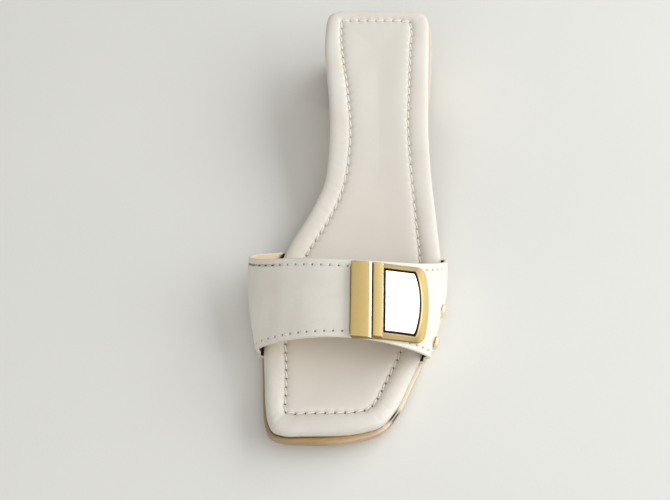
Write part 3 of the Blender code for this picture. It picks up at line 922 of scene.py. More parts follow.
def footbed_rim(seam, edge):
    """The round rim from the seam out to the edge, and its distances from the seam."""
    width = np.linalg.norm(edge - seam, axis=1)
    shares = [distance / width for distance in SEAM_RINGS]
    shares = np.array(shares + [np.full_like(width, share) for share in RIM_RINGS])
    flat = seam + (edge - seam) * shares[..., None]
    distances = seam_distances(flat)
    rim = wrap_top(flat, rim_height(shares, flat[..., 1]), *distances)
    rim[..., 2] += pressed(flat, RIM_CREASES) * rising(shares, 0.0, 0.25)
    return rim, distances


def footbed_side(edge):
    """Rings down the footbed's side, which tucks in toward the sole."""
    low = GAP + band_room(edge) * (RECESS_DEPTH - GAP)
    rings = []
    for share in SIDE_RINGS:
        inset = RIM_TUCK * (1.0 - np.sqrt(1.0 - (0.999 * share) ** 2))
        height = RIM_SIDE + (low - RIM_SIDE) * share
        rings.append(raised(widened(edge, -inset), sole_top(edge[:, 1]) + height))
    return rings


def footbed_under(foot, counts):
    """The underside, let in for the band's ends, within the last ring of the side. The
    counts are the points along each of its four sides."""
    starts = np.cumsum([0] + [count - 1 for count in counts])
    closed = np.concatenate([foot, foot[:1]])[:, :2]
    flat = patch([closed[start:start + count] for start, count in zip(starts, counts)])
    under = raised(flat, sole_top(flat[..., 1]) + GAP + band_room(flat) * (RECESS_DEPTH - GAP))
    for rim in (under[0], under[-1], under[:, 0], under[:, -1]):
        gaps = np.linalg.norm(rim[:, None, :2] - foot[None, :, :2], axis=2)
        rim[:, 2] = foot[np.argmin(gaps, axis=1), 2]
    return under


def footbed_sock(seams):
    """The sock inside the seam, risen and dished, and its distances from the seam."""
    flat = patch(seams)
    to_hole, to_seam = seam_distances(flat)
    rise = SOCK_RISE[0] * (1.0 - np.exp(-to_seam / SOCK_RISE[1]))
    rise = rise - SOCK_DISH[0] * rising(to_seam, *SOCK_DISH[1:])
    sock = wrap_top(flat, SEAM_HEIGHT + rise, to_hole, to_seam)
    sock[..., 2] += pressed(flat, SOCK_CREASES) * rising(to_seam, 0.0, 5.0)
    return sock, (to_hole, to_seam)


def wear_and_shade(grid, to_hole, to_seam):
    """Marks on the footbed's top: painted shade in the needle pits and along the seam's groove,
    a painted shade under the band's front, and a darker tip.
    """
    y = grid[..., 1]
    heelward = rising(y, *HOLE_PALING)
    # painted shade under the band's front
    band_shade = rising(y, *BAND_SHADE) * (1.0 - rising(y, *BAND_SHADE_END))
    return {
        "hole": np.exp(-(to_hole / (1.1 * SEAM_PIT[1])) ** 4) * (1.0 - HOLE_PALE * heelward),
        "seam": np.exp(-(to_seam / SEAM_LINE) ** 2) * (1.0 - heelward),
        "dull": 0.75 * band_shade + 0.3 * (1.0 - rising(y, *DARKER_TIP)),
    }


def footbed_skin():
    seams = seam_sides()
    edges = [matched(edge, seam) for edge, seam in zip(sides_of(smooth_loop(OUTLINE)), seams)]
    edge = ring(edges)
    edge[:, 1] += toe_pull(edge)
    sock, sock_distances = footbed_sock(seams)
    rim, rim_distances = footbed_rim(ring(seams), edge)
    side = footbed_side(edge)
    # the foot of the side is painted darker: partly edge stain, partly painted shade in the crease,
    # less on the outer side
    stain_and_shade = 1.0 - 0.8 * rising(edge[:, 0], *SHADE_AND_CEMENT_END)
    low = np.array([0.0, *SIDE_RINGS])[:, None] * stain_and_shade
    skin = Skin()
    skin.sheet(sock, sock=rising(sock_distances[1], 0.0, 0.5), **wear_and_shade(sock, *sock_distances))
    skin.sheet(rim, closed=True, **wear_and_shade(rim, *rim_distances))
    skin.sheet(np.array([rim[-1], *side]), closed=True, low=low)
    skin.sheet(footbed_under(side[-1], [len(part) for part in edges]), low=1.0)
    return skin


def leather_finish(name, cream, warm, grain_depth):
    """Smooth dyed calf leather: a fine pebble of grain, faint clouds of tone, a soft
    polish, and rougher needle holes, which each piece darkens with painted shade. Gives back
    the finish and its colour."""
    finish = Finish(name, Specular_IOR_Level=0.32, Sheen_Weight=0.08, Sheen_Roughness=0.4)
    clouds = finish.noise(16.0, 4.0, 0.5)
    mottle = finish.noise(2.2, 5.0, 0.6)
    colour = finish.mix(finish.step(clouds, 0.3, 0.75), cream, warm)
    colour = finish.mix(finish.step(mottle, 0.55, 0.8) * 0.16, colour, tint(196, 182, 164))
    pebble = finish.node(
        "ShaderNodeTexVoronoi",
        {"feature": "SMOOTH_F1"},
        {"Vector": finish.place(), "Scale": 1500.0, "Smoothness": 0.6},
    )
    pores = finish.noise(0.22, 3.0, 0.6)
    bump = finish.bump(mottle, 2.0 * grain_depth)
    bump = finish.bump(pebble * 0.7 + pores * 0.5, grain_depth, bump)
    finish.give(Roughness=0.48 + mottle * 0.12 + finish.mark("hole") * 0.3, Normal=bump)
    return finish, colour


def footbed_finish():
    cream, warm = tint(234, 229, 220), tint(229, 222, 211)
    finish, colour = leather_finish("cream_footbed_leather", cream, warm, 0.02)
    sock = finish.mix(finish.noise(20.0), tint(230, 224, 215), tint(227, 222, 212))
    colour = finish.mix(finish.mark("sock"), colour, sock)
    # painted shade under the band's front, and darker at the tip
    colour = finish.mix(finish.mark("dull"), colour, tint(196, 190, 180))
    # painted shade along the seam's groove
    colour = finish.mix(finish.mark("seam") * 0.2, colour, tint(150, 134, 112))
    # partly edge stain, partly painted shade in the crease under the rim
    colour = finish.mix(finish.step(finish.mark("low"), 0.35, 1.0) * 0.55, colour, tint(150, 124, 94))
    # painted shade in the needle holes
    finish.give(Base_Color=finish.mix(finish.mark("hole"), colour, tint(44, 36, 28)))
    return finish


footbed = footbed_skin().made("footbed_wrap", footbed_finish(), sharp=80.0)
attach(footbed, "root")
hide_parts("footbed")


# -------------------------------------------------------------------- footbed seam
# Twisted off-white thread, lockstitched from hole to hole. Each stitch lies a little
# askew in the groove and dives into the leather at both ends.

# The thread's radius and height over the line between two holes, how deep it dives at
# its ends, how far its plies turn in one stitch (radians), and how much deeper the whole
# seam lies at the heel
THREAD_RADIUS = 0.36
THREAD_LIFT = 0.58
THREAD_DIVE = 0.8
THREAD_TWIST = 9.0
THREAD_SUNK = 0.32
THREAD_SIDES = 9


def stitch_skin(holes, outward, lift, radius, skew, closed=True):
    """One skin for a row of stitches, from hole to hole. The lift is how high the
    thread's middle lies over the line between two holes."""
    skin = Skin()
    u = np.linspace(0.0, 1.0, THREAD_RINGS)[:, None, None]
    turn = np.linspace(0.0, 2.0 * np.pi, THREAD_SIDES, endpoint=False)[None, :, None]
    dive = np.abs(2.0 * u - 1.0) ** 5
    for line, up in zip(laid(holes, outward, skew, closed), outward):
        side = np.cross(line[-1] - line[0], up)
        side /= np.linalg.norm(side)
        path = line[:, None] + up * (lift - THREAD_DIVE * dive)
        ply = radius * (1.0 + 0.13 * np.cos(2.0 * turn - THREAD_TWIST * u))
        ply = ply * np.sqrt(1.0 - 0.9 * np.abs(2.0 * u - 1.0) ** 8)
        tube = path + ply * (np.cos(turn) * side + np.sin(turn) * up)
        skin.sheet(tube, closed=True)
        skin.cap(tube[0])
        skin.cap(tube[-1])
    return skin


def thread_finish():
    finish = Finish("stitching_thread", Sheen_Weight=0.3, Sheen_Roughness=0.5)
    fibre = finish.noise(0.12, 3.0, 0.6)
    colour = finish.mix(fibre, tint(252, 249, 242), tint(236, 230, 219))
    finish.give(Base_Color=colour, Roughness=0.72 + fibre * 0.1, Normal=finish.bump(fibre, 0.03))
    return finish


thread = thread_finish()
holes = hole_points()
sink = THREAD_SUNK * rising(holes[:, 1], *HOLE_PALING)
hole_base = raised(holes, sole_top(holes[:, 1]) + SEAM_HEIGHT - SEAM_GROOVE[0] - sink)
upward = np.broadcast_to([0.0, 0.0, 1.0], hole_base.shape)
footbed_seam = stitch_skin(hole_base, upward, THREAD_LIFT, THREAD_RADIUS, SEAM_SKEW)
footbed_seam = footbed_seam.made("footbed_seam", thread, sharp=70.0)
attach(footbed_seam, "root")


# ---------------------------------------------------------------------------- band
# One wide piece of cream calf over the foot, lined with tan leather and sewn to its
# lining along both edges, which are cut, sanded and painted. Its ends turn in between
# the footbed and the sole.

# The band's outer face at three stations: the front edge, the middle and the back edge.
# Heights are over the sole. The lean is how far the crest stands forward of the base,
# and the early share is how much of it comes low down.
BAND = {
    "inner_base_y": (42.0, 73.6, 105.2),
    "outer_base_y": (47.0, 78.0, 109.0),
    "inner_bulge_x": (-47.4, -54.3, -57.0),
    "inner_bulge_height": (10.0, 14.5, 19.5),
    "outer_bulge_x": (41.6, 46.0, 47.0),
    "outer_bulge_height": (10.0, 12.0, 14.0),
    "crest_x": (1.0, -0.5, -2.0),
    "crest_height": (34.2, 40.0, 45.0),
    "inner_lean": (1.0, 14.2, 27.0),
    "outer_lean": (4.0, 15.5, 27.0),
    "inner_early": (0.0, 0.21, 0.31),
    "outer_early": (0.0, 0.03, 0.06),
}

# The scale that gives the early share's curve a peak of one
EARLY_SCALE = 5.66

# The wall's thickness and clearance from the footbed, how far the ends reach in under it,
# the radius of their bend, the height where the side starts to flare, and how square the
# arch's shoulders are
WALL = 1.8
WALL_CLEARANCE = 1.5
BAND_MARGIN = 10.5
BAND_BEND = 2.2
BAND_RISE = 6.0
ARCH_POWER = 0.7

# Points of half the section: hidden, round the bend, up the side and over the arch
SECTION_POINTS = (8, 16, 24, 219)

# The grid that the face is read from: stations a little past both edges, and distances
# round the arch from its crest
STATIONS = np.linspace(-0.05, 1.05, 67)
REACH = np.arange(-108.0, 96.0, 0.5)

# Rows of points along the band: distances from the front edge and from the back edge,
# the edge seams among them, the number of rows between those and on the lining, and the
# columns on each half. The edges are rounded over by the last value.
FRONT_ROWS = (0.55, 0.9, 1.4, 2.0, 2.45, 2.75, 2.95, 3.1, 3.25, 3.45, 3.75, 4.2, 4.9, 5.9)
BACK_ROWS = (0.55, 0.9, 1.5, 2.2, 2.75, 3.1, 3.33, 3.5, 3.67, 3.9, 4.25, 4.8, 5.6, 6.6)
MIDDLE_ROWS = 16
LINING_ROWS = 18
BAND_COLUMNS = 230
EDGE_ROUND = 0.55

# Shares of the way to the band's ends over which its lining is painted dark as painted
# shade in the hollow under the footbed's edge, and how much sooner that is at the front
# edge
BAND_LINING_SHADE = (0.82, 0.87)
BAND_LINING_SHADE_LEAN = 0.12

# The two seams' distances from their edges, the length of a stitch, and how far from the
# band's ends they stop; then depth and width of their groove, puckers and pits
FRONT_SEAM = 3.1
BACK_SEAM = 3.5
BAND_STITCH = 4.6
SEAM_END = 13.0
BAND_GROOVE = (0.14, 0.45)
BAND_PUCKER = (0.14, 1.2)
BAND_PIT = (0.6, 0.36)

# The back seam is drawn in deep low on the inner side, with a painted shade along its
# groove there: where across the foot it comes up to the surface
SEAM_SUNK = (-45.0, -32.0)

# Soft troughs where the leather gives: place round the arch from the crest and
# along the band from its front, in millimetres of its length, then as on the footbed
BAND_LENGTH = 42.0
BAND_CREASES = [
    # across, along, heading, length, width, depth
    (-18.0, 20.0, 92.0, 34.0, 6.5, 0.10),
    (-31.0, 22.0, 88.0, 30.0, 5.0, 0.12),
    (-44.0, 18.0, 84.0, 26.0, 4.0, 0.14),
    (-56.0, 12.0, 60.0, 12.0, 2.2, 0.16),
    (-60.0, 24.0, 75.0, 12.0, 2.4, 0.14),
    (-63.0, 34.0, 100.0, 9.0, 2.0, 0.12),
    (48.0, 10.0, 118.0, 10.0, 2.0, 0.12),
    (55.0, 26.0, 96.0, 12.0, 2.4, 0.12),
]


def band_row(t):
    """The band table's values at a station, on the smooth curve through its columns."""
    shares = ((1.0 - t) * (1.0 - 2.0 * t), 4.0 * t * (1.0 - t), t * (2.0 * t - 1.0))
    return {key: np.dot(shares, values) for key, values in BAND.items()}


def band_y(row, share, height):
    """Where the band's face stands along the foot, at a height over the sole. The share
    runs from 0 on the inner side to 1 on the outer side."""
    def mixed(key):
        return row["inner_" + key] * (1.0 - share) + row["outer_" + key] * share

    start = GAP + BAND_BEND
    climb = np.clip((height - start) / (row["crest_height"] - start), 0.0, 1.0)
    early = mixed("early") * EARLY_SCALE * climb * (1.0 - climb) ** 1.6
    return mixed("base_y") - mixed("lean") * climb * (1.0 + early)


def half_section(row, side):
    """One half of the band's outer face across the foot, from its hidden end under the
    footbed, round the bend at the footbed's edge and up to the crest."""
    name = "inner" if side < 0 else "outer"
    bulge, bulge_height = row[name + "_bulge_x"], row[name + "_bulge_height"]
    under, round_bend, up, over = SECTION_POINTS
    hidden = np.linspace(BAND_MARGIN, BAND_BEND, under, endpoint=False)
    turn = np.linspace(0.0, 0.5 * np.pi, round_bend)
    climb = np.linspace(0.0, 1.0, up)
    inset = np.concatenate([hidden, BAND_BEND * (1.0 - np.sin(turn)), 0.0 * climb])
    flared = np.concatenate([0.0 * hidden, 0.0 * turn, ease(climb)])
    height = np.concatenate([
        GAP + 0.0 * hidden,
        GAP + BAND_BEND * (1.0 - np.cos(turn)),
        BAND_RISE + (bulge_height - BAND_RISE) * climb,
    ])
    y = band_y(row, 0.0 if side < 0 else 1.0, height)
    foot = footbed_edge_x(y, side) + side * (WALL + WALL_CLEARANCE - inset)
    side_wall = np.stack([foot + (bulge - foot) * flared, y, height], axis=1)
    out = np.cos(np.linspace(0.0, 0.5 * np.pi, over + 1)[1:])
    x = row["crest_x"] + (bulge - row["crest_x"]) * out
    rise = np.cos(0.5 * np.pi * out) ** ARCH_POWER
    height = bulge_height + (row["crest_height"] - bulge_height) * rise
    width = row["outer_bulge_x"] - row["inner_bulge_x"]
    y = band_y(row, (x - row["inner_bulge_x"]) / width, height)
    return np.concatenate([side_wall, np.stack([x, y, height], axis=1)])


@lru_cache(maxsize=1)
def band_field():
    """The band's outer face on the grid of stations and distances, and how far each
    station's two ends lie from its crest."""
    rows, ends = [], []
    for station in STATIONS:
        row = band_row(station)
        inner, outer = half_section(row, -1), half_section(row, 1)
        section = np.concatenate([inner, outer[-2::-1]])
        section[:, 2] += sole_top(section[:, 1])
        run = travelled(section)
        run -= run[len(inner) - 1]
        rows.append([np.interp(REACH, run, column) for column in section.T])
        ends.append((-run[0], run[-1]))
    return np.array(rows).transpose(0, 2, 1), np.array(ends)


def neighbours(value, grid):
    """Places in an even grid round a value, and their weights on a smooth curve through
    four of them."""
    at = (value - grid[0]) / (grid[1] - grid[0])
    first = np.clip(at.astype(int), 1, len(grid) - 3)
    t = at - first
    weights = [
        -0.5 * t + t ** 2 - 0.5 * t ** 3,
        1.0 - 2.5 * t ** 2 + 1.5 * t ** 3,
        0.5 * t + 2.0 * t ** 2 - 1.5 * t ** 3,
        -0.5 * t ** 2 + 0.5 * t ** 3,
    ]
    return first[..., None] + np.arange(-1, 3), np.stack(weights, axis=-1)


def on_band(across, along):
    """Points on the band's outer face."""
    across, along = np.broadcast_arrays(across, along)
    rows, row_weights = neighbours(along, STATIONS)
    columns, column_weights = neighbours(across, REACH)
    near = band_field()[0][rows[..., :, None], columns[..., None, :]]
    return np.einsum("...i,...j,...ijk->...k", row_weights, column_weights, near)


def band_axes(across, along):
    """Unit directions on the band: toward its back edge, and straight out of it."""
    backward = on_band(across, along + 0.01) - on_band(across, along - 0.01)
    sideways = on_band(across + 0.5, along) - on_band(across - 0.5, along)
    outward = np.cross(sideways, backward)
    backward /= np.linalg.norm(backward, axis=-1, keepdims=True)
    outward /= np.linalg.norm(outward, axis=-1, keepdims=True)
    return backward, outward


def over_band(across, along, height):
    """Points at a height over the band's outer face."""
    outward = band_axes(across, along)[1]
    return on_band(across, along) + outward * np.asarray(height)[..., None]


def arch_distance(share, along):
    """Distance from the crest, for a share of the way to the inner (-1) or outer (1) end."""
    ends = band_field()[1]
    inner = np.interp(along, STATIONS, ends[:, 0])
    outer = np.interp(along, STATIONS, ends[:, 1])
    return share * np.where(share < 0.0, inner, outer)


def edge_pace(share, along):
    """Millimetres square to the band's edge for each whole station, at one edge."""
    back = on_band(arch_distance(share, along + 0.01), along + 0.01)
    ahead = on_band(arch_distance(share, along - 0.01), along - 0.01)
    edge = np.gradient(on_band(arch_distance(share, along), along), axis=0)
    edge /= np.linalg.norm(edge, axis=-1, keepdims=True)
    return np.linalg.norm(np.cross((back - ahead) / 0.02, edge), axis=-1)


@lru_cache(maxsize=1)
def band_columns():
    """Shares of the way to the band's ends, and the pace at both edges there."""
    share = np.linspace(-1.0, 1.0, 2 * BAND_COLUMNS + 1)
    return share, *(smoothed(edge_pace(share, at), 7, mode="edge") for at in (0.0, 1.0))


def band_seam(edge):
    """Needle holes of the seam along the front (0) or back (1) edge, and the directions
    out of the leather there."""
    share, front_pace, back_pace = band_columns()
    along = 1.0 - BACK_SEAM / back_pace if edge else FRONT_SEAM / front_pace
    across = arch_distance(share, along)
    line = on_band(across, along)
    run = travelled(line)
    at = np.arange(SEAM_END, run[-1] - SEAM_END, BAND_STITCH)
    across, along = np.interp(at, run, across), np.interp(at, run, along)
    return on_band(across, along), band_axes(across, along)[1]


def edge_turn():
    """The painted edge's section from face to lining: distances from the edge, depths."""
    turn = np.radians([30.0, 60.0, 90.0])
    outer = [(EDGE_ROUND * (1.0 - np.sin(a)), EDGE_ROUND * (1.0 - np.cos(a))) for a in turn]
    inner = [(distance, WALL - depth) for distance, depth in outer[::-1]]
    return outer + [(0.0, 0.5 * WALL)] + inner + [(EDGE_ROUND, WALL)]


def band_rows():
    """Rows of points once round the band, over the face, the back edge, the lining and the
    front edge: stations, depths under the face, and the finish after each row."""
    share, front_pace, back_pace = band_columns()
    front = [distance / front_pace for distance in FRONT_ROWS]
    back = [1.0 - distance / back_pace for distance in BACK_ROWS[::-1]]
    middle = np.linspace(0.0, 1.0, MIDDLE_ROWS + 2)[1:-1]
    face_rows = front + [front[-1] + (back[0] - front[-1]) * step for step in middle] + back
    rows = [(along, 0.0, 0) for along in face_rows[:-1]] + [(back[-1], 0.0, 1)]
    rows += [(1.0 - distance / back_pace, depth, 1) for distance, depth in edge_turn()[:-1]]
    rows += [(1.0 - EDGE_ROUND / back_pace, WALL, 2)]
    for step in np.linspace(1.0, 0.0, LINING_ROWS + 2)[1:-1]:
        rows.append((front[0] + (back[-1] - front[0]) * step, WALL, 2))
    rows += [(distance / front_pace, depth, 1) for distance, depth in edge_turn()[::-1]]
    slots = [slot for _, _, slot in rows]
    rows.append(rows[0])
    along = np.array([row[0] for row in rows])
    return along, np.array([np.full_like(share, row[1]) for row in rows]), slots


def band_skin():
    share, front_pace, back_pace = band_columns()
    along, depth, slots = band_rows()
    across = arch_distance(share, along)
    point = on_band(across, along)
    outward = band_axes(across, along)[1]
    holes = np.concatenate([band_seam(0)[0], band_seam(1)[0]])
    to_hole = nearest(point, holes)
    to_seam = np.minimum(
        np.abs(along * front_pace - FRONT_SEAM), np.abs((1.0 - along) * back_pace - BACK_SEAM)
    )
    face = (depth == 0.0) * 1.0
    visible = rising(1.0 - np.abs(share), 0.06, 0.14)
    relief = sewn(to_hole, to_seam, BAND_GROOVE, BAND_PUCKER, BAND_PIT)
    relief += pressed(np.stack([across, along * BAND_LENGTH], axis=-1), BAND_CREASES)
    point = point + outward * (relief * face * visible - depth)[..., None]
    # painted shade in the needle holes, along both seams, and deep along the back seam low on the
    # inner side
    hole = np.exp(-(to_hole / (1.2 * BAND_PIT[1])) ** 4) * face * visible
    seam = np.exp(-(to_seam / 0.5) ** 2) * face
    sunk = np.exp(-(((1.0 - along) * back_pace - BACK_SEAM) / 0.45) ** 2) * face
    sunk *= 1.0 - rising(point[..., 0], *SEAM_SUNK)
    # painted shade on the lining toward its ends
    reach = np.abs(share) + BAND_LINING_SHADE_LEAN * (1.0 - along)
    tuck = rising(reach, *BAND_LINING_SHADE) * (depth > 0.0)
    skin = Skin()
    skin.sheet(point, slots, hole=hole, seam=seam, sunk=sunk, tuck=tuck)
    skin.cap(point[:-1, 0])
    skin.cap(point[:-1, -1])
    return skin


def band_face_finish():
    cream, warm = tint(242, 238, 229), tint(237, 231, 220)
    finish, colour = leather_finish("cream_band_leather", cream, warm, 0.016)
    # painted shade along the seams, deep in the back seam's groove and in the needle holes
    colour = finish.mix(finish.mark("seam") * 0.22, colour, tint(184, 172, 152))
    colour = finish.mix(finish.mark("sunk") * 0.9, colour, tint(84, 76, 64))
    finish.give(Base_Color=finish.mix(finish.mark("hole"), colour, tint(48, 42, 38)))
    return finish


def band_edge_finish():
    """Acrylic edge paint over the sanded cut: even, slightly rubbery, in two coats."""
    finish = Finish("cream_edge_paint", Specular_IOR_Level=0.45)
    drip = finish.noise(1.4, 3.0)
    colour = finish.mix(drip, tint(236, 230, 218), tint(222, 212, 194))
    finish.give(Base_Color=colour, Roughness=0.34 + drip * 0.16, Normal=finish.bump(drip, 0.06))
    return finish


def lining_finish():
    """Undyed pigskin lining: yellow tan with fine pores and a dull nap."""
    finish = Finish("tan_lining_leather", Specular_IOR_Level=0.3, Sheen_Weight=0.15)
    nap = finish.noise(0.5, 5.0, 0.65)
    cloud = finish.noise(12.0, 3.0)
    colour = finish.mix(cloud, tint(219, 195, 154), tint(229, 209, 175))
    colour = finish.mix(finish.step(nap, 0.5, 0.8) * 0.3, colour, tint(190, 150, 100))
    # painted shade toward the lining's ends
    colour = finish.mix(finish.mark("tuck"), colour, tint(64, 42, 22))
    finish.give(Base_Color=colour, Roughness=0.66 + nap * 0.1, Normal=finish.bump(nap, 0.05))
    return finish


band = band_skin().made(
    "band", band_face_finish(), band_edge_finish(), lining_finish(), sharp=80.0
)
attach(band, "root")
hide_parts("upper")


# ---------------------------------------------------------------------- band seams
# The same thread in a finer size, one row along each edge of the band.

# The thread's radius, height and skew, and how much deeper the back seam is drawn in low
# on the inner side
BAND_THREAD = (0.24, 0.16, 0.08)
SEAM_DRAWN = 0.28

radius, lift, skew = BAND_THREAD
for name, edge in (("band_front_seam", 0), ("band_back_seam", 1)):
    holes, outward = band_seam(edge)
    drawn = BAND_GROOVE[0] + edge * SEAM_DRAWN * (1.0 - rising(holes[:, :1], *SEAM_SUNK))
    holes = holes - outward * drawn
    row = stitch_skin(holes, outward, lift, radius, skew, closed=False)
    seam = row.made(name, thread, sharp=70.0)
    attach(seam, "root")


# -------------------------------------------------------------------- buckle frame
# Cast brass D bent to the arch of the band, held by prongs through the leather. Its
# face is brushed along the foot and toned on the two long rails, the bevel round its
# window is polished and painted paler as a painted highlight, and the plate under the
# two bars and the window's gap are painted near black as painted shade.

# Millimetres for each whole station on the buckle's stretch of the band
BAND_PACE = 41.0
FRAME_THICK = 1.5

# The D and its window: distances from the crest to start and end, stations of the front
# and back edge at both, and how far the end is bowed and the corners are rounded
FRAME_ACROSS = (-0.7, 43.0)
FRAME_FRONT = (-0.02, 0.093)
FRAME_BACK = (0.978, 0.93)
FRAME_START_CORNER = 1.6
FRAME_BOW = 3.0
FRAME_CORNER = 3.6
WINDOW_ACROSS = (15.9, 37.4)
WINDOW_FRONT = (0.112, 0.15)
WINDOW_BACK = (0.892, 0.872)
WINDOW_BOW = 3.2
WINDOW_CORNER = 0.4

# The frame's section, from its outer foot over the face: how far in from the outer
# outline, and height over the band. Then the window's, as how far out from its outline,
# down to a thin lip that runs in under the panel; from the foot of the bevel down, the
# window's wall, the lip and the underside are painted near black as painted shade. Then
# the rings between the two.
FRAME_OUTER = ((0.12, 0.20), (0.0, 0.32), (0.0, 1.15), (0.06, 1.42), (0.2, 1.65), (0.48, 1.8))
FRAME_WINDOW = ((0.6, 1.8), (0.54, 1.78), (0.06, 1.42), (0.0, 1.3), (0.0, 0.28), (-0.8, 0.27))
FRAME_FILL = 9

# How sharply a D's corners turn
CORNER_POWER = 16

# Points of a D's grid, from its start to its end and from its front to its back
D_STEPS = (44, 64)
D_ALONG = np.linspace(0.0, 1.0, D_STEPS[0])[:, None]
D_ROUND = np.sin(np.linspace(-0.5 * np.pi, 0.5 * np.pi, D_STEPS[1]))[None, :]

# Where, across the band, the toning of the long rails ends, and the stretch of the frame
# that is painted dark under the bars as painted shade: stations of its front and back end,
# and its end across
RAIL_TONING = (34.0, 39.0)
DARK_FRONT = (0.035, 0.05)
DARK_BACK = (0.93, 0.95)
DARK_END = (11.5, 14.0)


def d_shape(start, end, front, back, bow, corner, start_corner=0.0, inset=0.0):
    """Grid over a D drawn in by the inset: nearly square at its start, bowed and rounded
    at its end. Its first plane is the distance from the crest, its second the station."""
    share = inset / BAND_PACE
    begin = start + inset + start_corner * D_ROUND ** CORNER_POWER
    reach = end - inset - bow * D_ROUND ** 2 - corner * D_ROUND ** CORNER_POWER
    across = begin + (reach - begin) * D_ALONG
    slide = (across - start) / (end - start)
    low = front[0] + (front[1] - front[0]) * slide + share
    high = back[0] + (back[1] - back[0]) * slide - share
    return np.stack([across, low + (high - low) * (0.5 + 0.5 * D_ROUND)], axis=-1)


def frame_shape(inset):
    return d_shape(
        *FRAME_ACROSS, FRAME_FRONT, FRAME_BACK, FRAME_BOW, FRAME_CORNER, FRAME_START_CORNER, inset
    )


def window_shape(inset):
    return d_shape(
        *WINDOW_ACROSS, WINDOW_FRONT, WINDOW_BACK, WINDOW_BOW, WINDOW_CORNER, inset=inset
    )


def border(grid):
    """The outer loop of a grid of points, once round."""
    return np.concatenate([grid[0], grid[1:, -1], grid[-1, -2::-1], grid[-2:0:-1, 0]])


def bent(flat, height):
    """Points over the band, from distances round its arch and stations."""
    return over_band(flat[..., 0], flat[..., 1], height)


def frame_skin():
    rings = [(border(frame_shape(inset)), height) for inset, height in FRAME_OUTER]
    outer = rings[-1][0]
    inner = border(window_shape(-FRAME_WINDOW[0][0]))
    for share in np.linspace(0.0, 1.0, FRAME_FILL)[1:-1]:
        rings.append((outer + (inner - outer) * share, FRAME_OUTER[-1][1]))
    rings += [(border(window_shape(-grow)), height) for grow, height in FRAME_WINDOW]
    inner, outer = rings[-1][0], rings[0][0]
    for share in np.linspace(0.0, 1.0, FRAME_FILL)[1:]:
        rings.append((inner + (outer - inner) * share, FRAME_OUTER[0][1]))
    flat = np.array([ring[0] for ring in rings])
    height = np.array([ring[1] for ring in rings])[:, None]
    # painted shade: the frame near black under the bars and from the window's bevel down
    inside = rising(flat[..., 1], *DARK_FRONT) * (1.0 - rising(flat[..., 1], *DARK_BACK))
    dark = (height > FRAME_THICK) * inside * (1.0 - rising(flat[..., 0], *DARK_END))
    bevel = len(FRAME_OUTER) + FRAME_FILL
    dark[bevel:] = 1.0
    toned = 1.0 - rising(flat[..., 0], *RAIL_TONING)
    # painted highlight: the bevel round the window is painted paler, most where it is not toned
    polish = np.zeros_like(dark)
    polish[bevel - 2:bevel] = 0.6 - 0.4 * toned[bevel - 2:bevel]
    skin = Skin()
    skin.sheet(
        bent(flat, np.broadcast_to(height, flat.shape[:-1])),
        closed=True,
        across=flat[..., 0],
        along=flat[..., 1] * BAND_PACE,
        toned=toned,
        polish=polish,
        dark=dark,
    )
    return skin


def brass_finish(name, colour, deep, roughness, scratch):
    """Gold-toned brass brushed along the foot: fine long scratches that soften its
    reflections, with a little tarnish in them, and toned at its marks. Where marked it is
    polished and painted paler as a painted highlight, or painted near black and not metal
    as painted shade."""
    finish = Finish(name, Coat_Roughness=0.2, Specular_IOR_Level=0.15)
    lay = finish.node(
        "ShaderNodeCombineXYZ",
        {},
        {0: finish.mark("across") * 0.012, 1: finish.mark("along") * 0.0004},
    )
    brushed = finish.noise(1.0, 4.0, 0.7, at=lay)
    cloud = finish.noise(4.0, 3.0)
    tone = finish.mix(finish.step(brushed, 0.3, 0.7) * 0.35 + cloud * 0.2, colour, deep)
    tone = finish.mix(finish.mark("toned") * 0.95, tone, tint(150, 128, 80))
    # polished, and painted paler as a painted highlight
    tone = finish.mix(finish.mark("polish") * 0.8, tone, tint(252, 244, 224))
    # painted shade: near black and not metal where the dark mark is set
    tone = finish.mix(finish.mark("dark"), tone, tint(28, 8, 0))
    bright = 1.0 - finish.mark("dark")
    rough = roughness + brushed * 0.14
    finish.give(
        Base_Color=tone,
        Metallic=bright,
        Coat_Weight=bright * 0.5,
        Roughness=rough - finish.mark("polish") * (rough - 0.16),
        Normal=finish.bump(brushed, scratch),
    )
    return finish


brushed_brass = brass_finish("brushed_brass", tint(217, 192, 131), tint(195, 168, 102), 0.46, 0.02)
buckle_frame = frame_skin().made("buckle_frame_cast", brushed_brass, sharp=24.0)
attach(buckle_frame, "root")
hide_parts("buckle_frame")


# -------------------------------------------------------------------- buckle panel
# Mirror-polished brass plate set into the window with a dark gap all round, its edge
# bevelled and its sides painted near black as painted shade in the gap. Nothing is
# engraved on it.

# The gap, the plate's section as distances in from its outline and heights over the band,
# and the rise of its face in the middle
PANEL_GAP = 0.65
PANEL_SECTION = ((0.0, 0.3), (0.0, 1.5), (0.04, 1.58), (0.3, 1.84))
PANEL_CROWN = 0.05


def panel_skin():
    skin = Skin()
    rings = [(window_shape(PANEL_GAP + inset), height) for inset, height in PANEL_SECTION]
    flat = np.array([border(grid) for grid, _ in rings])
    height = np.array([height for _, height in rings])[:, None]
    # painted shade: the plate's sides in the gap are near black
    dark = 1.0 - rising(height, 1.3, 1.5)
    skin.sheet(bent(flat, np.broadcast_to(height, flat.shape[:-1])), closed=True, dark=dark)
    foot, foot_height = rings[0]
    skin.sheet(bent(foot, np.full(foot.shape[:-1], foot_height)))
    face, face_height = rings[-1]
    crown = PANEL_CROWN * 4.0 * D_ALONG * (1.0 - D_ALONG) * (1.0 - D_ROUND ** 2)
    skin.sheet(bent(face, face_height + crown))
    return skin


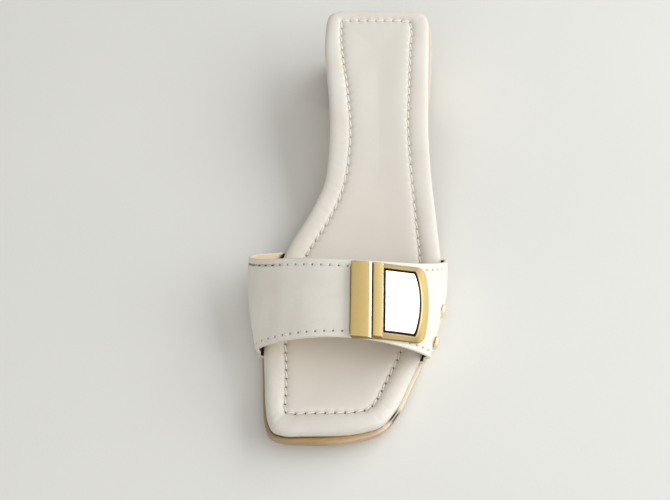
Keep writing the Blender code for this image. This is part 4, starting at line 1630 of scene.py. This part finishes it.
def mirror_finish():
    finish = Finish("polished_brass", Specular_IOR_Level=0.15)
    smear = finish.noise(6.0, 4.0)
    colour = finish.mix(smear, tint(248, 236, 208), tint(246, 230, 196))
    # painted shade on the plate's sides in the gap
    colour = finish.mix(finish.mark("dark"), colour, tint(28, 8, 0))
    rough = 0.15 + finish.step(smear, 0.5, 0.8) * 0.05
    finish.give(Base_Color=colour, Metallic=1.0 - finish.mark("dark"), Roughness=rough)
    return finish


polished_brass = mirror_finish()
buckle_panel = panel_skin().made("buckle_panel_plate", polished_brass, sharp=20.0)
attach(buckle_panel, "root")
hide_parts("buckle_panel")


# --------------------------------------------------------------------- buckle bars
# Two brushed brass bars standing on the frame side by side. Each has a soft edge toward
# the inner side and a wide polished chamfer toward the outer one, painted paler as a
# painted highlight, and its walls are painted dark toward their foot as painted shade.
# Their faces are bare.

# Thickness, rounding of the edges, fall of the face from its middle to its sides, height
# of the foot over the band, and where points lie across a rounded edge
BAR_THICK = 1.3
BAR_ROUND = 0.3
BAR_CROWN = 0.12
BAR_FOOT = 2.0 * GAP + FRAME_THICK
BAR_ROUNDING = (0.0, 0.02, 0.07, 0.16, 0.3)
BARS = [
    # CAD node, across, along, chamfer's width and depth, how much lower its start is
    ("buckle_wide_bar", (-0.3, 9.45), (0.012, 0.96), 1.3, 0.6, 0.0),
    ("buckle_narrow_bar", (10.15, 15.3), (0.04, 0.955), 0.9, 0.38, 0.25),
]


def bar_skin(across, along, chamfer, depth, lean):
    start, end = across
    rounding = np.array(BAR_ROUNDING)
    flank = np.linspace(start + BAR_ROUND, end - chamfer, 12)[1:]
    a = np.concatenate([start + rounding, flank, end - chamfer * np.array([0.5, 0.06, 0.0])])
    front, back = (value * BAND_PACE for value in along)
    middle = np.linspace(front + BAR_ROUND, back - BAR_ROUND, 40)[1:-1]
    b = np.concatenate([front + rounding, middle, (back - rounding)[::-1]])
    a, b = np.meshgrid(a, b, indexing="ij")

    def rounded(distance):
        return BAR_ROUND * (1.0 - np.sqrt(1.0 - (1.0 - np.clip(distance / BAR_ROUND, 0, 1)) ** 2))

    drop = rounded(a - start) + rounded(b - front) + rounded(back - b)
    cut = np.clip(1.0 - (end - a) / chamfer, 0.0, 1.0)
    share = (a - start) / (end - start)
    drop += depth * cut + BAR_CROWN * (2.0 * share - 1.0) ** 2 + lean * (1.0 - share)
    flat = np.stack([a, b / BAND_PACE], axis=-1)
    top = bent(flat, BAR_FOOT + BAR_THICK - np.minimum(drop, BAR_THICK - 0.2))
    low = bent(flat, np.full(a.shape, BAR_FOOT))
    skin = Skin()
    skin.sheet(low)
    wall = np.array([border(low), border(top)])
    # painted shade: the walls near black at their foot, fading up
    skin.sheet(wall, closed=True, across=border(a[..., None])[:, 0], dark=np.array([[1.0], [0.0]]))
    # painted highlight: the chamfer is painted paler
    skin.sheet(top, across=a, along=b, polish=rising(cut, 0.0, 0.1))
    return skin


for node, *shape in BARS:
    bar = bar_skin(*shape).made(node + "_brushed", brushed_brass, sharp=20.0)
    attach(bar, "root")
    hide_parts(node)


# --------------------------------------------------------------------------- studs
# Two domed brass caps pressed on the ends of the rivets that hold the buckle's strap,
# low on the band's outer side.

# Radius, height of the dome and of the straight side under it, the middle's height over
# the sole, and how far it stands off the leather; then each stud's station on the band
STUD_RADIUS = 3.7
STUD_DOME = 1.5
STUD_SIDE = 0.3
STUD_HEIGHT = 10.5
STUD_STANDOFF = 0.45
STUD_STATIONS = {"stud_front": 0.155, "stud_rear": 0.48}
STUD_SEGMENTS = 56

# Distances round the arch among which a stud's place is looked for
STUD_REACH = np.arange(40.0, 80.0, 0.1)


def stud_skin(station):
    line = on_band(STUD_REACH, station)
    height = line[:, 2] - sole_top(line[:, 1])
    across = STUD_REACH[np.argmin(np.abs(height - STUD_HEIGHT))]
    foot = on_band(across, station)
    ahead, outward = band_axes(across, station)
    side = np.cross(ahead, outward)
    tilt = np.radians(np.linspace(90.0, 2.0, 16))
    radius = np.concatenate([[STUD_RADIUS - 0.5, STUD_RADIUS], STUD_RADIUS * np.sin(tilt)])
    rise = np.concatenate([[-0.4, -0.4], STUD_SIDE + STUD_DOME * np.cos(tilt)])
    turn = np.linspace(0.0, 2.0 * np.pi, STUD_SEGMENTS, endpoint=False)
    spoke = np.cos(turn)[:, None] * ahead + np.sin(turn)[:, None] * side
    rings = foot + outward * (STUD_STANDOFF + rise)[:, None, None] + spoke * radius[:, None, None]
    skin = Skin()
    skin.sheet(rings, closed=True)
    skin.cap(rings[0])
    skin.cap(rings[-1])
    return skin


stud_brass = brass_finish("stud_brass", tint(248, 238, 210), tint(240, 224, 184), 0.5, 0.006)
for node, station in STUD_STATIONS.items():
    stud = stud_skin(station).made(node + "_cap", stud_brass, sharp=50.0)
    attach(stud, "root")
    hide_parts(node)


# --------------------------------------------------------------------------- stage
# Pale floor under soft daylight from the outer side, and a camera over the toe.

# The floor's width, and the points along it, which lie closest near the shoe
FLOOR_SIZE = 6000.0
FLOOR_POINTS = 201

# Soft lights, all facing the shoe: name, place and size in metres, power and colour
LIGHTS = [
    ("window", (1.12, 0.34, 0.77), (2.6, 1.0), 22.6, (0.955, 0.98, 1.0)),
    ("ceiling", (0.12, 0.0, 1.42), (2.0, 2.0), 4.8, (1.0, 0.99, 0.97)),
    ("room", (-0.1, -1.0, 0.98), (1.6, 1.2), 5.9, (1.0, 0.99, 0.97)),
]
LIGHTS_AIM = (0.0, 0.0, 0.02)

# The light that comes from all round
ROOM_COLOUR = (1.0, 0.98, 0.95, 1.0)
ROOM_STRENGTH = 0.27

# The camera: what it looks at, how far away it is and in which direction (degrees round
# from the toe, and up), and its lens
TARGET = (-12.6, 101.9, 20.0)
DISTANCE = 616.0
AZIMUTH = 5.59
ELEVATION = 60.0
LENS = 62.38


def backdrop_finish():
    finish = Finish("pale_backdrop", Specular_IOR_Level=0.2)
    weave = finish.noise(1.5, 4.0)
    cloud = finish.noise(180.0, 2.0)
    colour = finish.mix(cloud, tint(226, 226, 222), tint(233, 232, 227))
    finish.give(Base_Color=colour, Roughness=0.9, Normal=finish.bump(weave, 0.05))
    return finish


skin = Skin()
step = np.linspace(-0.5, 0.5, FLOOR_POINTS) ** 3 * 4.0 * FLOOR_SIZE
flat = np.stack(np.meshgrid(-step, step, indexing="ij"), axis=-1) + CENTRE
skin.sheet(raised(flat, 0.0))
floor = skin.made("floor", backdrop_finish())


def add_light(name, place, size, power, colour):
    """A soft rectangular light, as from a window."""
    light = bpy.data.lights.new(name, "AREA")
    light.shape = "RECTANGLE"
    light.size, light.size_y = size
    light.energy = power
    light.color = colour
    item = bpy.data.objects.new(name, light)
    item.location = place
    item.rotation_euler = (Vector(LIGHTS_AIM) - Vector(place)).to_track_quat("-Z", "Y").to_euler()
    bpy.context.scene.collection.objects.link(item)


for light in LIGHTS:
    add_light(*light)

world = bpy.data.worlds.new("room")
bpy.context.scene.world = world
world.use_nodes = True
background = world.node_tree.nodes["Background"]
background.inputs["Color"].default_value = ROOM_COLOUR
background.inputs["Strength"].default_value = ROOM_STRENGTH
bpy.context.scene.view_settings.view_transform = "Standard"

camera_data = bpy.data.cameras.new("camera")
camera_data.sensor_fit = "HORIZONTAL"
camera_data.lens = LENS
camera = bpy.data.objects.new("camera", camera_data)
turn, tilt = np.radians(AZIMUTH), np.radians(ELEVATION)
back = Vector((np.sin(turn) * np.cos(tilt), -np.cos(turn) * np.cos(tilt), np.sin(tilt)))
camera.location = (Vector(TARGET) + back * DISTANCE - Vector((*CENTRE, 0.0))) * MM
camera.rotation_euler = (-back).to_track_quat("-Z", "Y").to_euler()
bpy.context.scene.collection.objects.link(camera)
bpy.context.scene.camera = camera
